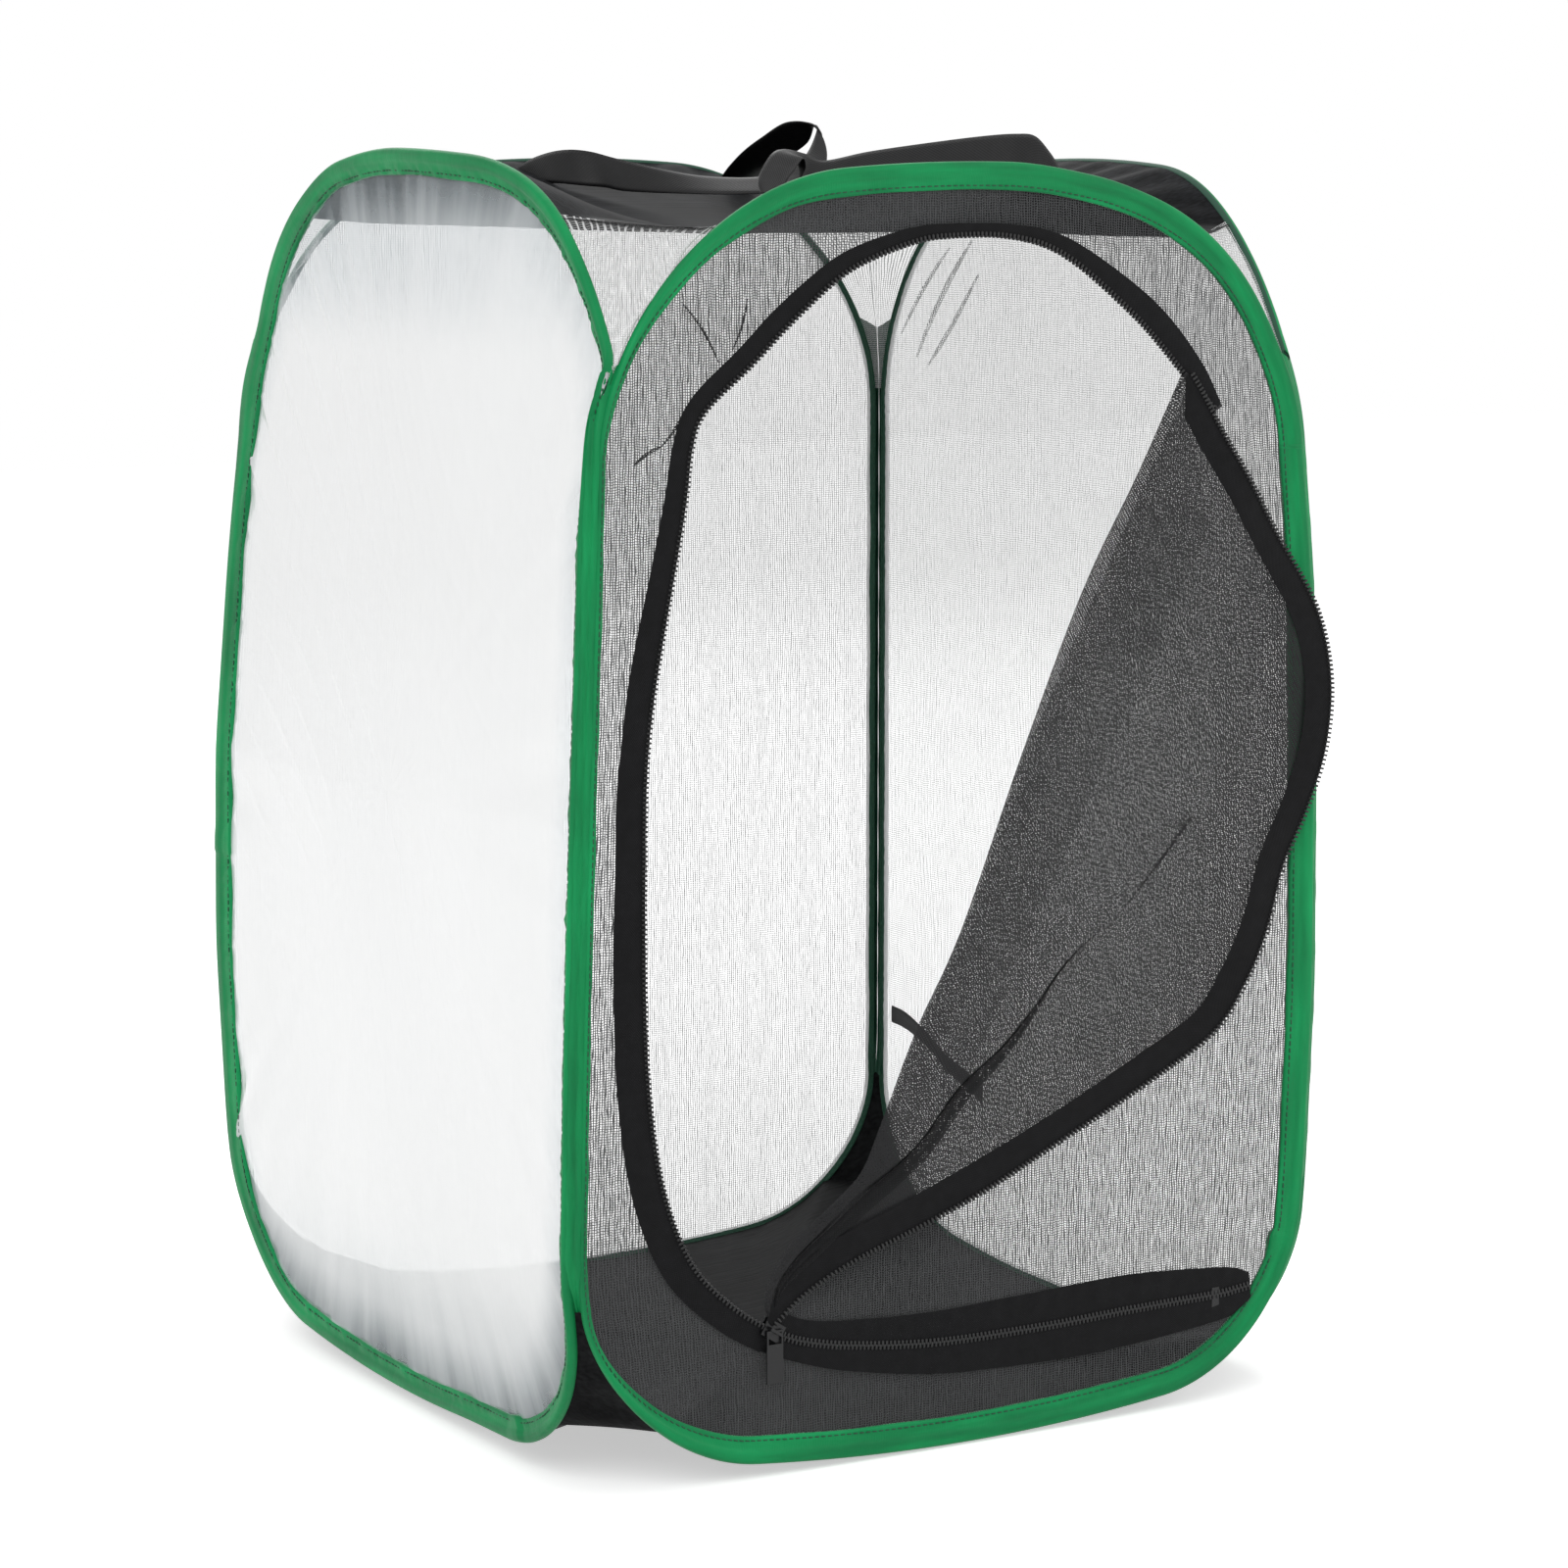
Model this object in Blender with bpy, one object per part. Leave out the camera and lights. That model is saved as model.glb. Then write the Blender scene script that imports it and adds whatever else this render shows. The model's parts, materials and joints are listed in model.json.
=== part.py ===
"""Pop-up mesh insect cage: four bound spring hoops, clear window, mesh walls, zip door, two carrying straps."""
import math

import bmesh
import bpy
import numpy as np
from mathutils import Vector

# Driving sizes, in metres
cage_width = 0.400
cage_height = 0.600
hoop_thickness = 0.0052
binding_width = 0.0125
binding_cloth = 0.0008
wire_diameter = 0.0018
clearance = 0.0003
mesh_thickness = 0.0005
top_corner_radius = 0.127
bottom_corner_radius = 0.080
top_arch = 0.022
bottom_arch = 0.018
edge_inset = 0.0034
pivot_inset = 0.0029
panel_inset = 0.0045

# Door sizes
zip_corner_radius = 0.115
zip_left_room = 0.036
zip_right_room = 0.052
zip_bottom = 0.050
zip_shoulder_drop = 0.200
zip_top_room = 0.035
zip_centre = 0.0
arch_power = 2.05
door_top_angle = math.radians(37.5)
slider_angle = math.radians(236.7)
coil_gap = 0.0006
coil_width = 0.0026
coil_thickness = 0.0016
tape_width = 0.0150
tape_thickness = 0.0008
tape_lap = 0.0070
tape_forward = 0.00105
fold_forward = 0.0026
fold_gap = 0.0005
pleat_slide = 0.068
pleat_reach = 0.085
pleat_height = 0.0040
flap_trim = 0.012
flap_start = 0.016

# Slider and pull sizes
slider_length = 0.0104
slider_width = 0.0084
slider_plate = 0.00115
slider_post = 0.00025
bridge_length = 0.0066
bridge_bar = 0.0011
bridge_width = 0.0014
bridge_room = 0.0018
pull_length = 0.0250
pull_width = 0.0086
pull_bar = 0.0009
pull_eye = 0.0056

# Strap sizes
webbing_width = 0.020
webbing_thickness = 0.0016
strap_reach = 0.045
foot_rise = 0.0085
strap_lean = math.radians(50.0)
front_strap_left_share = -0.5258
front_strap_right_share = 0.2990
back_strap_share = 0.5155
tie_width = 0.010
tie_length = 0.100
tie_height = 0.128
tie_thickness = 0.0009
tie_slope = math.radians(-16.0)

# Cloth panel sizes
roof_sag = 0.036
floor_rise = 0.0035
cloth_thickness = 0.0005
seam_room = 0.0009
sleeve_length = 0.022
sleeve_wall = 0.0003
gusset_start = math.radians(20.0)
gusset_end = math.radians(57.0)
floor_gusset_end = math.radians(50.0)

# Counts
corner_steps = 8
arch_steps = 5
zip_steps = 16
zip_arch_steps = 15
rim_steps = 4
ring_steps = 5

middle = cage_width / 2 - hoop_thickness / 2
half_span = middle - edge_inset
pivot = middle - pivot_inset
front_plane = -middle
fold_plane = front_plane - fold_forward
zip_left = zip_left_room - half_span
zip_right_end = half_span - zip_right_room
zip_side_top = cage_height - zip_shoulder_drop
zip_apex = cage_height - zip_top_room
SIDES = ("front", "right", "back", "left")

COLOURS = {
    "binding": (0.035, 0.40, 0.17, 1.0),
    "black": (0.012, 0.012, 0.013, 1.0),
    "mesh": (0.03, 0.03, 0.032, 1.0),
    "pale": (0.75, 0.76, 0.77, 1.0),
    "film": (0.86, 0.89, 0.90, 0.4),
    "steel": (0.55, 0.56, 0.58, 1.0),
    "metal": (0.05, 0.05, 0.055, 1.0),
}


def clear_scene():
    """Take away every object that the file starts with."""
    for thing in list(bpy.data.objects):
        bpy.data.objects.remove(thing, do_unlink=True)


def finish(name, colour, roughness, metallic=0.0):
    """One Principled material per sub-part."""
    mat = bpy.data.materials.new(name + "_finish")
    mat.use_nodes = True
    shader = mat.node_tree.nodes["Principled BSDF"]
    shader.inputs["Base Color"].default_value = COLOURS[colour]
    shader.inputs["Alpha"].default_value = COLOURS[colour][3]
    shader.inputs["Roughness"].default_value = roughness
    shader.inputs["Metallic"].default_value = metallic
    return mat


def build(name, points, faces, colour, roughness, origin=(0.0, 0.0, 0.0), metallic=0.0):
    """An object from world points and faces, with its own origin, all faces turned outward."""
    start = np.array(origin, float)
    mesh = bpy.data.meshes.new(name)
    mesh.from_pydata([tuple(p - start) for p in np.asarray(points, float)], [], faces)
    work = bmesh.new()
    work.from_mesh(mesh)
    bmesh.ops.recalc_face_normals(work, faces=work.faces)
    work.to_mesh(mesh)
    work.free()
    mesh.materials.append(finish(name, colour, roughness, metallic))
    thing = bpy.data.objects.new(name, mesh)
    thing.location = Vector(origin)
    bpy.context.scene.collection.objects.link(thing)
    return thing


def on_side(side, across, out, height):
    """World points of a wall: across runs left to right seen from outside, out is away from the cage."""
    across, out, height = np.broadcast_arrays(across, out, height)
    x, y = across, -middle - out
    for _ in range(SIDES.index(side)):
        x, y = -y, x
    return np.stack([x, y, height], axis=-1)


def corner_point(angle, top, inset=0.0):
    """Right-hand hoop corner at an angle from the side: 0 is the vertical run, a quarter turn the apex side."""
    radius = top_corner_radius if top else bottom_corner_radius
    across = half_span - radius + radius * np.cos(angle)
    rise = radius * np.sin(angle)
    return bow(across, cage_height - radius + rise if top else radius - rise, inset)


def bow(across, height, inset=0.0):
    """Hoop outline with its soft bow at top and bottom, drawn in by inset."""
    level = (height - cage_height / 2) / (cage_height / 2)
    share = (across / half_span) ** 2 * level ** 2
    shaped = np.where(level > 0, height - top_arch * share, height + bottom_arch * share)
    across_in = across * (1 - inset / half_span)
    return across_in, cage_height / 2 + (shaped - cage_height / 2) * (1 - 2 * inset / cage_height)


def hoop_outline(inset):
    """Closed hoop outline, counter-clockwise seen from outside, inset along its own normals."""
    quarter = np.linspace(0, math.pi / 2, corner_steps + 1)
    ax, az = corner_point(quarter, True)
    bx, bz = corner_point(quarter, False)
    edge = np.linspace(-1, 1, arch_steps + 1)[1:-1]
    tx, tz = bow(-edge * ax[-1], np.full(len(edge), cage_height))
    fx, fz = bow(edge * bx[-1], np.zeros(len(edge)))
    across = np.concatenate([ax, tx, -ax[::-1], -bx, fx, bx[::-1]])
    height = np.concatenate([az, tz, az[::-1], bz, fz, bz[::-1]])
    line = np.stack([across, height], axis=1)
    along = np.roll(line, -1, axis=0) - np.roll(line, 1, axis=0)
    along = along / np.linalg.norm(along, axis=1)[:, None]
    outward = np.stack([along[:, 1], -along[:, 0]], axis=1)
    return line - inset * outward, outward


def ring_faces(count, section):
    """Quads of a section swept round a closed line."""
    faces = []
    for i in range(count):
        for j in range(section):
            a, b = i * section + j, i * section + (j + 1) % section
            c, d = ((i + 1) % count) * section + (j + 1) % section, ((i + 1) % count) * section + j
            faces.append((a, b, c, d))
    return faces


def tube_faces(count, section):
    """Quads and end caps of a section swept along an open line."""
    faces = [f for f in ring_faces(count, section) if max(f) - min(f) <= 2 * section - 1]
    faces = faces[: (count - 1) * section]
    faces.append(tuple(range(section))[::-1])
    faces.append(tuple((count - 1) * section + j for j in range(section)))
    return faces


def hoop_origin(side):
    """Each moving wall keeps its origin on the seam it turns about."""
    if side == "front":
        return (0.0, 0.0, 0.0)
    if side == "right":
        return (pivot, -pivot, 0.0)
    if side == "left":
        return (-pivot, -pivot, 0.0)
    return (-pivot, pivot, 0.0)


def make_binding(side):
    """Folded tape round the hoop: a wide fold over the wire, with lips that close on the panel."""
    line, outward = hoop_outline(0.0)
    half = hoop_thickness / 2
    lip = mesh_thickness / 2 + clearance
    room = half - binding_cloth
    depth = binding_width * 0.42
    outer = [(-binding_width, lip + binding_cloth), (-depth, half), (-binding_cloth, half)]
    outer += [(0.0, half - binding_cloth), (0.0, binding_cloth - half)]
    outer += [(-binding_cloth, -half), (-depth, -half), (-binding_width, -lip - binding_cloth)]
    inner = [(-binding_width, -lip), (-depth, -room), (-binding_cloth, -room)]
    inner += [(-binding_cloth, room), (-depth, room), (-binding_width, lip)]
    section = np.array(outer + inner)
    flat = line[:, None, :] + section[None, :, :1] * outward[:, None, :]
    deep = np.broadcast_to(section[None, :, 1], flat.shape[:2])
    points = on_side(side, flat[..., 0], deep, flat[..., 1]).reshape(-1, 3)
    faces = ring_faces(len(line), len(section))
    return build(side + "_binding", points, faces, "binding", 0.45, hoop_origin(side))


def wire_line(side):
    """The wire's centre line from just past its joint, all the way round."""
    line, outward = hoop_outline(binding_cloth + clearance + sleeve_wall + clearance + wire_diameter / 2)
    first = len(line) - corner_steps - 1 - arch_steps // 2
    turned = np.roll(line, -first, axis=0)
    halfway = (turned[0] + turned[-1]) / 2
    step = turned[0] - turned[-1]
    step = step / np.linalg.norm(step) * clearance
    return np.concatenate([[halfway + step], turned, [halfway - step]])


def make_wire(side):
    """Spring wire hoop, open by a hair where its two ends meet in the sleeve."""
    line = wire_line(side)
    along = np.gradient(line, axis=0)
    along = along / np.linalg.norm(along, axis=1)[:, None]
    outward = np.stack([along[:, 1], -along[:, 0]], axis=1)
    turn = np.arange(6) * (math.pi / 3)
    flat = line[:, None, :] + (np.cos(turn) * wire_diameter / 2)[None, :, None] * outward[:, None, :]
    deep = np.broadcast_to(np.sin(turn) * wire_diameter / 2, flat.shape[:2])
    points = on_side(side, flat[..., 0], deep, flat[..., 1]).reshape(-1, 3)
    faces = tube_faces(len(line), 6)
    return build(side + "_hoop_wire", points, faces, "steel", 0.3, hoop_origin(side), 1.0)


def make_sleeve(side):
    """Short crimped tube over the wire's two ends, inside the bottom of the binding."""
    line = wire_line(side)
    place = (line[0] + line[-1]) / 2
    across = place[0] + np.array([-sleeve_length / 2, sleeve_length / 2])
    turn = np.arange(6) * (math.pi / 3)
    inner = wire_diameter / 2 + clearance
    outer = inner + sleeve_wall
    rings = [(across[0], inner), (across[0], outer), (across[1], outer), (across[1], inner)]
    points = []
    for position, radius in rings:
        points.append(on_side(side, np.full(6, position), radius * np.sin(turn), place[1] + radius * np.cos(turn)))
    faces = []
    for r in range(4):
        for j in range(6):
            k = (j + 1) % 6
            n = (r + 1) % 4
            faces.append((r * 6 + j, r * 6 + k, n * 6 + k, n * 6 + j))
    return build(side + "_wire_sleeve", np.concatenate(points), faces, "steel", 0.35, hoop_origin(side), 1.0)


def prism(name, side, outline, out_low, out_high, colour, roughness, origin, metallic=0.0):
    """Flat plate on a wall from a closed outline and two distances out from the wall's middle plane."""
    count = len(outline)
    low = on_side(side, outline[:, 0], out_low, outline[:, 1])
    high = on_side(side, outline[:, 0], out_high, outline[:, 1])
    faces = [tuple(range(count)), tuple(range(count, 2 * count))]
    for i in range(count):
        k = (i + 1) % count
        faces.append((i, k, count + k, count + i))
    return build(name, np.concatenate([low, high]), faces, colour, roughness, origin, metallic)


def cloth_solid(name, grid, thickness, colour, roughness, origin, wrap=False):
    """Closed sheet of even thickness from a grid of surface points."""
    rows, cols = grid.shape[:2]
    down = np.gradient(grid, axis=0)
    if wrap:
        side_step = np.roll(grid, -1, axis=1) - np.roll(grid, 1, axis=1)
    else:
        side_step = np.gradient(grid, axis=1)
    normal = np.cross(down, side_step)
    size = np.linalg.norm(normal, axis=2)[..., None]
    normal = normal / np.maximum(size, 1e-12)
    if wrap:
        normal[0] = normal[1].mean(axis=0) / np.linalg.norm(normal[1].mean(axis=0))
    half = thickness / 2
    upper, lower = (grid + half * normal).reshape(-1, 3), (grid - half * normal).reshape(-1, 3)
    count = rows * cols
    faces = []
    last = cols if wrap else cols - 1
    for i in range(rows - 1):
        for j in range(last):
            k = (j + 1) % cols
            a, b, c, d = i * cols + j, i * cols + k, (i + 1) * cols + k, (i + 1) * cols + j
            faces.append((a, b, c, d))
            faces.append((count + d, count + c, count + b, count + a))
    rim = [(rows - 1) * cols + j for j in range(cols)]
    if wrap:
        loops = [rim + rim[:1]]
    else:
        edge = [j for j in range(cols)] + [i * cols + cols - 1 for i in range(1, rows)]
        edge += rim[::-1][1:] + [i * cols for i in range(rows - 2, -1, -1)]
        loops = [edge]
    for loop in loops:
        for a, b in zip(loop[:-1], loop[1:]):
            faces.append((a, b, count + b, count + a))
    points = np.concatenate([upper, lower])
    thing = build(name, points, faces, colour, roughness, origin)
    if wrap:
        work = bmesh.new()
        work.from_mesh(thing.data)
        bmesh.ops.remove_doubles(work, verts=work.verts, dist=thickness / 50)
        bmesh.ops.recalc_face_normals(work, faces=work.faces)
        work.to_mesh(thing.data)
        work.free()
    return thing


def zip_line(last_angle):
    """Centre line of the zip: right end, along the bottom, round the corner, up the side and over the arch."""
    base = zip_left + zip_corner_radius
    rise = zip_bottom + zip_corner_radius
    turn = np.linspace(1.5 * math.pi, math.pi, zip_steps + 1)
    corner = np.stack([base + zip_corner_radius * np.cos(turn), rise + zip_corner_radius * np.sin(turn)], axis=1)
    sweep = np.linspace(math.pi, last_angle, zip_arch_steps)
    reach, tall = zip_centre - zip_left, zip_apex - zip_side_top
    cos_part = np.sign(np.cos(sweep)) * np.abs(np.cos(sweep)) ** (2 / arch_power)
    sin_part = np.abs(np.sin(sweep)) ** (2 / arch_power)
    arch = np.stack([zip_centre + reach * cos_part, zip_side_top + tall * sin_part], axis=1)
    start = np.array([[zip_right_end, zip_bottom]])
    return np.concatenate([start, corner, arch])


def line_length(line):
    """Running length along a line of points."""
    steps = np.linalg.norm(np.diff(line, axis=0), axis=1)
    return np.concatenate([[0.0], np.cumsum(steps)])


def slider_station(line):
    """Length along the zip at which the slider stands."""
    bottom_run = zip_right_end - zip_left - zip_corner_radius
    return bottom_run + zip_corner_radius * (1.5 * math.pi - slider_angle)


def cut_line(line, low, high):
    """The stretch of a line between two lengths."""
    run = line_length(line)
    inside = (run > low) & (run < high)
    ends = np.array([[np.interp(s, run, line[:, k]) for k in (0, 1)] for s in (low, high)])
    return np.concatenate([ends[:1], line[inside], ends[1:]])


def offset_line(line, offset):
    """Line moved sideways: positive is to the inside of the door."""
    along = np.gradient(line, axis=0)
    along = along / np.linalg.norm(along, axis=1)[:, None]
    inward = np.stack([along[:, 1], -along[:, 0]], axis=1)
    return line + inward * np.reshape(offset, (-1, 1))


def strip_outline(line, near, far):
    """Closed outline of a strip between two sideways distances."""
    return np.concatenate([offset_line(line, near), offset_line(line, far)[::-1]])


def door_frame():
    """The door's fold line as a point, a direction along it and a direction across it."""
    line = zip_line(door_top_angle)
    run = line_length(line)
    stand = slider_station(line)
    foot = np.array([np.interp(stand, run, line[:, k]) for k in (0, 1)])
    head = line[-1]
    along = (foot - head) / np.linalg.norm(foot - head)
    across = np.array([-along[1], along[0]])
    return head, foot, along, across


def to_rest(closed):
    """Door points from the closed door to the folded, pleated door: mirrored at the fold, then drawn in."""
    head, _, along, across = door_frame()
    away = -((closed - head) @ across)
    down = (closed - head) @ along
    table = np.linspace(0, 2 * cage_width, 800)
    share = np.clip(table / pleat_reach, 0, 1)
    weight = share * share * (3 - 2 * share)
    spread = table + pleat_slide * weight * across[0]
    rest_away = np.interp(away, spread, table)
    share = np.clip(rest_away / pleat_reach, 0, 1)
    weight = share * share * (3 - 2 * share)
    rest_down = down - pleat_slide * weight * along[0]
    return head + np.outer(rest_down, along) + np.outer(rest_away, across)


def make_front_panel(origin):
    """Mesh wall with the open doorway and the slit that the closed zip runs over."""
    outline, _ = hoop_outline(panel_inset)
    half = mesh_thickness / 2
    wall = prism("front_mesh_panel", "front", outline, -half, half, "mesh", 0.8, origin)
    line = zip_line(door_top_angle)
    stand = slider_station(line)
    total = line_length(line)[-1]
    head, foot, _, across = door_frame()
    upper = cut_line(line, stand, total)
    edge = offset_line(upper, -tape_lap)
    shift = across * clearance
    doorway = np.concatenate([edge, [head + shift, foot + shift]])
    cut = prism("doorway_cutter", "front", doorway, -binding_width, binding_width, "mesh", 0.8, origin)
    lower = cut_line(line, slider_width, stand + tape_lap)
    slit = strip_outline(lower, -tape_lap, tape_lap)
    cut_slit = prism("slit_cutter", "front", slit, -binding_width, binding_width, "mesh", 0.8, origin)
    for number, tool in enumerate((cut, cut_slit)):
        tool.hide_render = True
        tool.display_type = "WIRE"
        change = wall.modifiers.new("opening_" + str(number), "BOOLEAN")
        change.operation = "DIFFERENCE"
        change.solver = "EXACT"
        change.object = tool
    return wall


def make_zip(origin, edge_origin):
    """Tapes and coils of the zip on the frame, on the closed lower run and on the door flap."""
    line = zip_line(door_top_angle)
    longer = zip_line(door_top_angle - math.radians(7.0))
    stand = slider_station(line)
    total = line_length(line)[-1]
    front_tape = tape_forward + tape_thickness / 2
    back_tape = tape_forward - tape_thickness / 2
    front_coil = tape_forward + coil_thickness / 2
    back_coil = tape_forward - coil_thickness / 2
    far_coil = coil_gap + coil_width
    near_tape = far_coil + clearance
    far_tape = near_tape + tape_width
    outline = strip_outline(longer, -near_tape, -far_tape)
    prism("frame_zip_tape", "front", outline, back_tape, front_tape, "black", 0.7, origin)
    outline = strip_outline(longer, -coil_gap, -far_coil)
    prism("frame_zip_coil", "front", outline, back_coil, front_coil, "black", 0.4, origin)
    lower = cut_line(line, 0.0, stand - clearance)
    outline = strip_outline(lower, coil_gap, far_coil)
    prism("lower_door_zip_coil", "front", outline, back_coil, front_coil, "black", 0.4, origin)
    lower = cut_line(line, 0.0, stand - slider_length)
    outline = strip_outline(lower, near_tape, far_tape)
    prism("lower_door_zip_tape", "front", outline, back_tape, front_tape, "black", 0.7, origin)
    upper = cut_line(line, stand + flap_start, total - flap_start)
    head, _, _, across = door_frame()
    room = -((upper - head) @ across)
    reach = np.clip(room - flap_trim / 3, near_tape + flap_trim / 6, far_tape)
    outline = to_rest(strip_outline(upper, near_tape, reach))
    mirror = 2 * fold_forward
    prism("flap_zip_tape", "front", outline, mirror - front_tape, mirror - back_tape, "black", 0.7, edge_origin)
    outline = to_rest(strip_outline(upper, coil_gap, far_coil))
    prism("flap_zip_coil", "front", outline, mirror - front_coil, mirror - back_coil, "black", 0.4, edge_origin)


def make_flap(origin):
    """Folded door cloth in its resting shape, drawn in by its long slanting pleat."""
    line = zip_line(door_top_angle)
    stand = slider_station(line)
    total = line_length(line)[-1]
    head, foot, along, across = door_frame()
    upper = cut_line(line, stand + flap_start, total - flap_start)
    room = -((upper - head) @ across)
    edge = offset_line(upper, np.clip(tape_lap, 0, np.maximum(room - fold_gap * 4, fold_gap)))
    edge = to_rest(edge)[::-1]
    span = np.linspace(0, 1, len(edge))
    start = head + along * flap_start
    stop = foot - along * flap_start
    chord = start + np.outer(span, stop - start) + across * fold_gap
    share = np.linspace(0, 1, 9)
    flat = chord[None] + (edge - chord)[None] * share[:, None, None]
    fold = np.exp(-((share - 0.45) / 0.13) ** 2)[:, None] * np.sin(math.pi * span)[None] ** 0.7
    out = 2 * fold_forward + pleat_height * fold * np.ones_like(flat[..., 0])
    grid = on_side("front", flat[..., 0], out, flat[..., 1])
    return cloth_solid("door_flap", grid, cloth_thickness, "mesh", 0.8, origin)


def blocks(name, cuts, filled, colour, roughness, origin, turn, metallic=0.0):
    """Solid from cells of a small grid, turned about the wall's normal, set at its origin."""
    index, points, faces = {}, [], []
    full = set(filled)
    dirs = [((1, 0, 0), 0, 1), ((0, 1, 0), 1, 1), ((0, 0, 1), 2, 1)]
    dirs += [((-1, 0, 0), 0, 0), ((0, -1, 0), 1, 0), ((0, 0, -1), 2, 0)]
    for cell in sorted(full):
        for step, axis, high in dirs:
            beside = tuple(cell[k] + step[k] for k in range(3))
            if beside in full:
                continue
            others = [k for k in range(3) if k != axis]
            loop = []
            for a, b in ((0, 0), (1, 0), (1, 1), (0, 1)):
                corner = [0, 0, 0]
                corner[axis] = cell[axis] + high
                corner[others[0]] = cell[others[0]] + a
                corner[others[1]] = cell[others[1]] + b
                key = tuple(corner)
                if key not in index:
                    index[key] = len(points)
                    points.append([cuts[k][key[k]] for k in range(3)])
                loop.append(index[key])
            faces.append(tuple(loop))
    local = np.array(points)
    cos_t, sin_t = math.cos(turn), math.sin(turn)
    world = np.stack(
        [
            origin[0] + cos_t * local[:, 0] - sin_t * local[:, 2],
            origin[1] + local[:, 1],
            origin[2] + sin_t * local[:, 0] + cos_t * local[:, 2],
        ],
        axis=1,
    )
    return build(name, world, faces, colour, roughness, origin, metallic)


def make_slider():
    """Zip slider: two plates on a thin post between the coils, with a bridge for the pull, and the pull."""
    base = zip_left + zip_corner_radius
    rise = zip_bottom + zip_corner_radius
    spot = np.array([base + zip_corner_radius * math.cos(slider_angle), rise + zip_corner_radius * math.sin(slider_angle)])
    level = front_plane - tape_forward
    turn = slider_angle + math.pi / 2
    gap = coil_thickness / 2 + clearance
    depth = [-(gap + slider_plate + bridge_room + bridge_bar), -(gap + slider_plate + bridge_room)]
    depth += [-(gap + slider_plate), -gap, gap, gap + slider_plate]
    long_half, wide_half = slider_length / 2, slider_width / 2
    along = [-long_half, -bridge_length / 2, bridge_bar - bridge_length / 2, -slider_length / 8]
    along += [slider_length / 8, bridge_length / 2 - bridge_bar, bridge_length / 2, long_half]
    wide = [-wide_half, -bridge_width / 2, -slider_post, slider_post, bridge_width / 2, wide_half]
    filled = [(i, j, k) for i in range(7) for j in (2, 4) for k in range(5)]
    filled += [(3, 3, 2)]
    filled += [(i, 0, k) for i in range(1, 6) for k in (1, 2, 3)]
    filled += [(i, 1, k) for i in (1, 5) for k in (1, 2, 3)]
    origin = (spot[0], level, spot[1])
    blocks("zip_slider", (along, depth, wide), filled, "metal", 0.35, origin, turn, 0.6)
    bar_level = level - gap - slider_plate - bridge_room / 2
    half, bar = pull_width / 2, pull_bar / 2
    across = [-half, pull_bar - half, half - pull_bar, half]
    thick = [-bar, bar]
    tall = [bar - pull_length, bar - pull_bar - pull_eye, -bar, bar]
    filled = [(i, 0, 0) for i in range(3)] + [(0, 0, 1), (2, 0, 1)] + [(i, 0, 2) for i in range(3)]
    blocks("zip_pull", (across, thick, tall), filled, "metal", 0.4, (spot[0], bar_level, spot[1]), 0.0, 0.3)


def make_zip_ends(origin):
    """Box at the zip's right end and stop at its top end."""
    room = coil_gap + coil_width + clearance + tape_width / 5
    low = tape_forward - coil_thickness / 2
    high = tape_forward + coil_thickness / 2
    start = zip_right_end + clearance
    end = start + slider_width / 2
    box_outline = np.array(
        [(start, zip_bottom - room), (end, zip_bottom - room), (end, zip_bottom + room), (start, zip_bottom + room)]
    )
    prism("zip_end_box", "front", box_outline, low, high, "metal", 0.4, origin, 0.3)
    longer = zip_line(door_top_angle - math.radians(7.0))
    step = longer[-1] - longer[-2]
    step = step / np.linalg.norm(step)
    tip = np.array([longer[-1] + step * clearance, longer[-1] + step * (clearance + coil_width)])
    outline = strip_outline(tip, -coil_gap / 2, -coil_gap * 2 - coil_width)
    prism("zip_top_stop", "front", outline, low, high, "metal", 0.4, origin, 0.3)


def rim_points(top, angle, inset):
    """One quarter of a roof or floor edge: half a hoop, the cut corner, then the next half hoop."""
    turn = np.linspace(math.pi / 2, angle, rim_steps + 1)
    ax, az = corner_point(turn, top, inset)
    level = cage_height if top else 0.0
    mid_x, mid_z = bow(np.linspace(0, 1, 3)[:-1] * (half_span - (top_corner_radius if top else bottom_corner_radius)), level, inset)
    across = np.concatenate([mid_x, ax])
    height = np.concatenate([mid_z, az])
    inner = middle - hoop_thickness / 2 - seam_room
    first = np.stack([across, np.full(len(across), -inner), height], axis=1)
    second = np.stack([np.full(len(across), inner), -across, height], axis=1)[::-1]
    chord = (first[-1:] + second[:1]) / 2
    return np.concatenate([first, chord, second[:-1]])


def make_sheet(name, top, angle, centre, colour):
    """Roof or floor cloth: rings drawn from its edge to its middle, sagging or rising as soft cloth does."""
    quarter = rim_points(top, angle, seam_room if top else 2 * seam_room)
    rim = []
    for k in range(4):
        turned = quarter.copy()
        for _ in range(k):
            turned = np.stack([-turned[:, 1], turned[:, 0], turned[:, 2]], axis=1)
        rim.append(turned)
    rim = np.concatenate(rim)
    share = np.linspace(0, 1, ring_steps + 1)[:, None, None]
    grid = rim[None] * np.concatenate([share, share, 0 * share], axis=2)
    power = 1.7 if top else 2.2
    grid[..., 2] = centre + (rim[None, :, 2] - centre) * (share[..., 0] ** power)
    return cloth_solid(name, grid, cloth_thickness, colour, 0.8, (0.0, 0.0, 0.0), wrap=True)


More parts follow.
